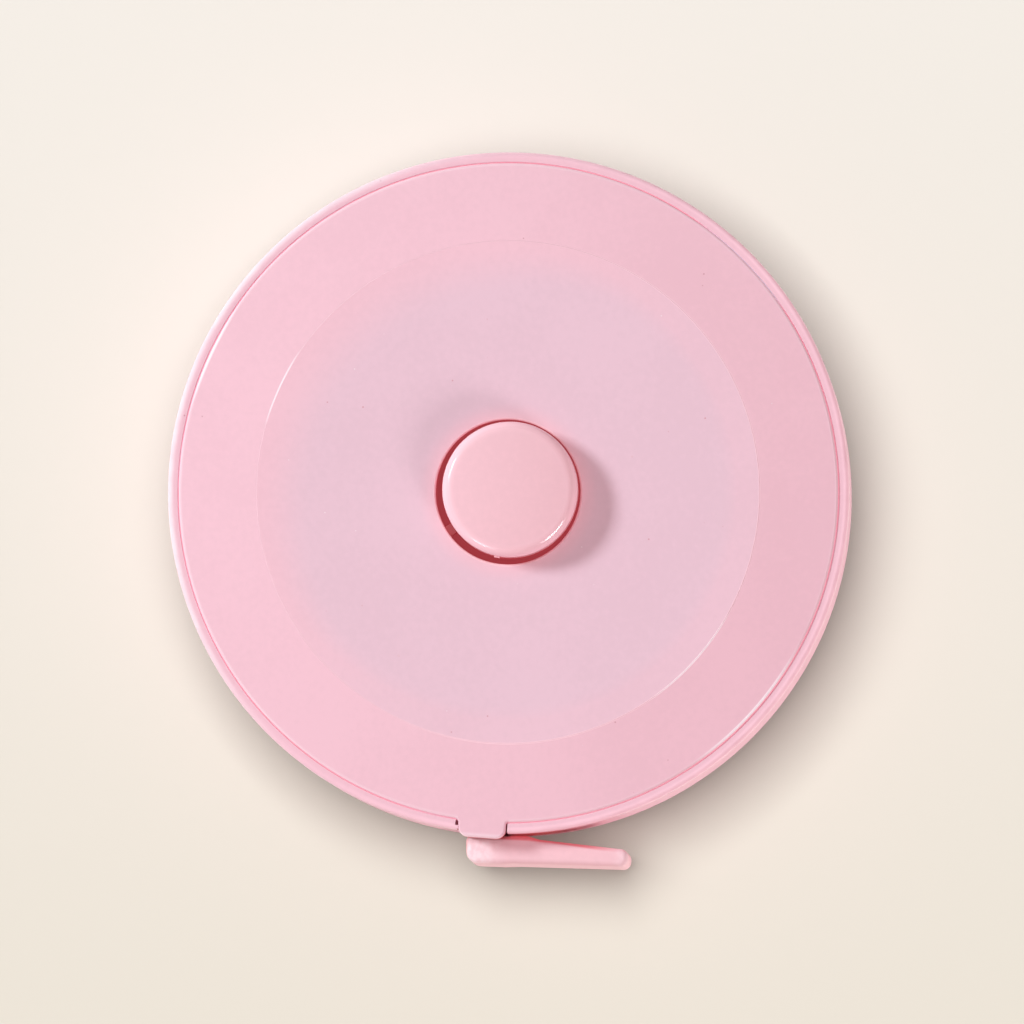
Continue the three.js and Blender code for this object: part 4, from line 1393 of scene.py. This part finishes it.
def tab_finish(colours, tab):
    """Pink of the tab, with pale rub marks and a painted glow at its ends, and painted red shade at its
    root end and along its case side, there with a faint painted glow.
    """
    def layers(finish):
        ahead, out = (along(finish, way) for way in tab_ways(tab))
        ends = finish.math("MAXIMUM", finish.spread(ahead, 1.4 * MM, -0.8 * MM),
                           finish.spread(ahead, tab.tip - 1.3 * MM, tab.tip - 0.3 * MM, 0.0, 0.6))
        # Pale rub marks at the tab's ends, with a painted glow
        wear_and_glint = both(finish, ends, finish.spread(finish.noise(2200.0, 3.0), 0.3, 0.7, 0.25, 0.75),
                      above(finish, TAB_HIGH.z - 0.1 * MM, 0.7 * MM))
        # Painted red shade at the tab's root end
        root = finish.spread(ahead, 0.3 * MM - tab.root, 0.05 * MM - tab.root, 0.0, 0.7)
        lean = finish.spread(ahead, 2.2 * MM, tab.tip, 0.0, tab.thinning)
        # Painted red shade along the tab's case side
        side = finish.spread(finish.math("SUBTRACT", out, lean), tab.near + 0.28 * MM, tab.near + 0.12 * MM)
        side = both(finish, side, finish.spread(ahead, tab.tip - 0.6 * MM, tab.tip - 3.5 * MM, 0.1, 1.0))
        return [(wear_and_glint, tinted(colours.tab, 1.05, 1.36, 1.32), TAB_END_GLOW, 0.4),
                (root, tinted(colours.tab, 0.98, 0.62, 0.6), NO_LIGHT, 0.4),
                (side, tinted(colours.tab, 0.94, 0.47, 0.48), TAB_SIDE_GLOW, 0.5)]

    return moulded("tab_pink", lambda finish, level: solid(colours.tab, level), layers,
                   gloss=0.55, sheen=0.3)


class TAPEMEASURE_OT_tab(bpy.types.Operator):
    """Pull tab with the pocket that holds the tape's end"""

    bl_idname = "tapemeasure.tab"
    bl_label = "Pull tab"

    def execute(self, context):
        settings = context.scene.tape_measure
        finish = tab_finish(settings.colours, settings.tab)
        grip = slab("tab_grip", tab_outline(settings.tab), TAB_LOW.z, TAB_HIGH.z, settings.tab.bevel)
        pocket = grown("pocket", path_tree("Tape pocket", finish, flat=True), {
            "Thickness": settings.tape.thickness + 2 * RUN_GAP,
            "Width": TAPE_WIDTH + 2 * RUN_GAP}, run_path(settings)[:POCKET_POINTS])
        place_piece("tab_grip", combined(grip, [pocket], "DIFFERENCE"), finish,
                    "tape_end", ["pull_tab"])
        return {"FINISHED"}


# Reel

class TAPEMEASURE_OT_reel(bpy.types.Operator):
    """Power spring, and the finishes of the reel and the brake ring"""

    bl_idname = "tapemeasure.reel"
    bl_label = "Reel"

    def execute(self, context):
        settings = context.scene.tape_measure
        steel = bpy.data.materials["spring_steel"]
        count = math.floor(POWER_TURNS * POWER_STEPS)
        plan = [polar(POWER_TAIL, POWER_ANGLE)]
        plan += spiral(POWER_START, POWER_PITCH, POWER_ANGLE, count, POWER_STEPS)
        plan.append(polar(POWER_HOOK, POWER_ANGLE + 2 * math.pi * POWER_TURNS))
        coil = grown("power_coil", path_tree("Spring strip", steel, flat=True), {
            "Thickness": POWER_STRIP, "Width": POWER_HIGH.z - POWER_LOW.z},
            at_height(plan, (POWER_LOW.z + POWER_HIGH.z) / 2))
        place_piece("power_coil", coil, steel, "reel", ["power_spring"])
        white = reel_finish(settings.colours)
        rubber = rubber_finish(settings.colours)
        for name, finish in (("reel_barrel", white), ("reel_flange", white), ("spring_cover", white),
                             ("brake_ring", rubber)):
            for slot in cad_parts[name].material_slots:
                slot.material = finish
        return {"FINISHED"}


# Stage

FLOOR_HALF = 6.0
FLOOR_DROP = 0.03 * MM
FLOOR_FRONT, FLOOR_BACK = -0.039, 0.037  # where its change of tone starts and ends
PLAIN_FROM, PLAIN_OUT = 0.06, 0.35  # distances over which it turns to its tone far out
FLOOR_SHADE = (0.555, 0.58, 0.58)  # scales its tone to what the lamps give
FLOOR_GLANCE = (1.0, 0.94, 0.97, 1.0)
LAMP_LOSS = 0.75  # glow that makes up for the card lamp's fall far out
WORLD_TONE = (1.0, 0.82, 0.80, 1.0)
SENSOR = 36.0
FAR_CLIP = 50.0

# Lamps: width and height, direction, distance and tone
CARD_HEIGHT = 3.0
LAMPS = {
    "key": ((0.64, 0.36), (-0.813, 0.324, 0.485), 2.4, (0.84, 1.0, 1.0)),
    "fill": ((0.76, 0.64), (0.66, -0.63, 0.41), 2.4, (1.0, 0.93, 0.93)),
    "top": ((1.7, 1.7), (-0.075, 0.075, 1.0), 3.0, (1.0, 0.94, 0.95)),
    "card": ((1.7, 1.7), (-0.10, 0.11, 1.0), CARD_HEIGHT, (1.0, 0.95, 0.95)),
}

# Boxes that shine in the button's rounded edge: name, share of the power, width and height, direction
GLINT_REACH = 0.5
GLINT_TONE = (1.0, 0.96, 0.97)
GLINTS = (
    ("glint_left", 0.85, (0.10, 0.07), (-0.813, 0.324, 0.485)),
    ("glint_right", 1.3, (0.21, 0.09), (0.66, -0.63, 0.46)),
    ("glint_front", 0.5, (0.14, 0.06), (-0.45, -0.75, 0.55)),
)


def area_lamp(name, watts, size, way, reach, tone):
    """A soft box of a width and a height that faces the object from a direction."""
    data = bpy.data.lights.new(name, "AREA")
    data.energy = watts
    data.shape = "RECTANGLE"
    data.size, data.size_y = size
    data.color = tone
    lamp = new_object(name, data)
    place = Vector(way).normalized()
    lamp.location = place * reach
    lamp.rotation_euler = place.to_track_quat("Z", "Y").to_euler()
    lamp.visible_camera = False
    return lamp


def light_only(lamp, piece, state):
    """Keeps a lamp off one piece, or on it alone."""
    lit = bpy.data.collections.new(lamp.name + "_lights")
    lit.objects.link(piece)
    lit.collection_objects[0].light_linking.link_state = state
    lamp.light_linking.receiver_collection = lit


def floor_finish(stage):
    """Pale card whose tone falls towards the front, and which shows the object's shadow."""
    finish = Finish("floor_card", Roughness=1.0, Specular_IOR_Level=0.0)
    back = finish.add("ShaderNodeMapRange", {
        "Value": finish.parts()["Y"], "From Min": FLOOR_FRONT, "From Max": FLOOR_BACK}).outputs[0]
    tone = finish.mix(back, solid(stage.floor_near), solid(stage.floor_far))
    tone = finish.mix(finish.spread(from_axis(finish), PLAIN_FROM, PLAIN_OUT), tone, solid(stage.floor_out))
    finish.set("Base Color", finish.mix(1.0, tone, solid(FLOOR_SHADE), "MULTIPLY"))
    path = finish.add("ShaderNodeLightPath").outputs
    glanced = finish.math("MAXIMUM", path["Is Glossy Ray"], path["Is Transmission Ray"])
    finish.set("Emission Color", finish.mix(glanced, tone, FLOOR_GLANCE))
    far_out = finish.math("DIVIDE", from_axis(finish), CARD_HEIGHT)
    lit = finish.math("POWER", finish.math("ADD", finish.math("MULTIPLY", far_out, far_out), 1.0), -2.0)
    glow = finish.math("MULTIPLY", finish.math("SUBTRACT", 1.0, lit), LAMP_LOSS)
    glow = finish.math("ADD", glow, stage.floor_glow)
    finish.set("Emission Strength", finish.math(
        "ADD", finish.math("MULTIPLY", path["Is Camera Ray"], glow),
        finish.math("MULTIPLY", glanced, stage.floor_shine)))
    return finish.material


def set_world(stage):
    """Even light from all round, behind a plain pale background."""
    world = bpy.data.worlds.new("studio")
    world.use_nodes = True
    tree = world.node_tree
    background = tree.nodes["Background"]
    path = tree_node(tree, "ShaderNodeLightPath").outputs
    seen = path["Is Camera Ray"]
    for ray in ("Is Glossy Ray", "Is Transmission Ray"):
        seen = tree_math(tree, "MAXIMUM", seen, path[ray])
    level = tree_node(tree, "ShaderNodeMapRange", {
        "Value": seen, "To Min": stage.ambient, "To Max": 1.0}).outputs[0]
    background.inputs["Color"].default_value = WORLD_TONE
    tree.links.new(level, background.inputs["Strength"])
    bpy.context.scene.world = world


class TAPEMEASURE_OT_stage(bpy.types.Operator):
    """Floor, lamps, world and camera"""

    bl_idname = "tapemeasure.stage"
    bl_label = "Stage"

    def execute(self, context):
        stage = context.scene.tape_measure.stage
        sheet = bpy.data.meshes.new("floor")
        corners = [(x * FLOOR_HALF, y * FLOOR_HALF, -FLOOR_DROP)
                   for x, y in ((-1, -1), (1, -1), (1, 1), (-1, 1))]
        sheet.from_pydata(corners, [], [(0, 1, 2, 3)])
        sheet.materials.append(floor_finish(stage))
        floor = new_object("floor", sheet)

        lamps = {name: area_lamp(name, getattr(stage, name), *setup) for name, setup in LAMPS.items()}
        for name in ("key", "fill"):
            lamps[name].visible_glossy = False
            light_only(lamps[name], floor, "EXCLUDE")
        light_only(lamps["card"], floor, "INCLUDE")
        for name, part, size, way in GLINTS:
            glint = area_lamp(name, stage.glint * part, size, way, GLINT_REACH, GLINT_TONE)
            glint.visible_diffuse = False
            light_only(glint, bpy.data.objects["button_cap"], "INCLUDE")
        set_world(stage)

        camera = bpy.data.cameras.new("camera")
        camera.sensor_width = SENSOR
        camera.lens = camera.sensor_width * stage.distance / stage.frame_width
        camera.clip_end = FAR_CLIP
        viewer = new_object("camera", camera)
        way = Vector((stage.lean[0], stage.lean[1], 1.0)).normalized()
        viewer.location = Vector(stage.aim) + way * stage.distance
        side = Vector((0, 1, 0)).cross(way).normalized()
        up = way.cross(side)
        viewer.rotation_euler = Matrix((side, up, way)).transposed().to_euler()
        context.scene.camera = viewer
        context.scene.view_settings.view_transform = "Standard"
        return {"FINISHED"}


class TAPEMEASURE_PT_panel(bpy.types.Panel):
    """Steps and settings of the tape measure"""

    bl_idname = "TAPEMEASURE_PT_panel"
    bl_label = "Tape measure"
    bl_space_type = "VIEW_3D"
    bl_region_type = "UI"
    bl_category = "Tape measure"

    def draw(self, context):
        layout = self.layout
        for step in STEPS:
            layout.operator(step.bl_idname)
        settings = context.scene.tape_measure
        for group in ("case", "button", "tab", "tape", "colours", "stage"):
            box = layout.box()
            box.label(text=group.capitalize())
            values = getattr(settings, group)
            for name in values.__annotations__:
                box.prop(values, name)


GROUPS = (CaseSizes, ButtonSizes, TabSizes, TapeSizes, Colours, StageSettings, TapeMeasureSettings)
STEPS = (TAPEMEASURE_OT_shell, TAPEMEASURE_OT_cover, TAPEMEASURE_OT_button, TAPEMEASURE_OT_winding,
         TAPEMEASURE_OT_run, TAPEMEASURE_OT_tab, TAPEMEASURE_OT_reel, TAPEMEASURE_OT_stage)
CLASSES = GROUPS + STEPS + (TAPEMEASURE_PT_panel,)


def register():
    """Makes the settings, the steps and the panel known."""
    for item in CLASSES:
        bpy.utils.register_class(item)
    bpy.types.Scene.tape_measure = PointerProperty(type=TapeMeasureSettings)


def unregister():
    """Takes them away again."""
    del bpy.types.Scene.tape_measure
    for item in reversed(CLASSES):
        bpy.utils.unregister_class(item)


def main():
    """Builds each piece and the stage."""
    register()
    bpy.ops.tapemeasure.shell()
    bpy.ops.tapemeasure.cover()
    bpy.ops.tapemeasure.button()
    bpy.ops.tapemeasure.winding()
    bpy.ops.tapemeasure.run()
    bpy.ops.tapemeasure.tab()
    bpy.ops.tapemeasure.reel()
    bpy.ops.tapemeasure.stage()


if __name__ == "__main__":
    main()
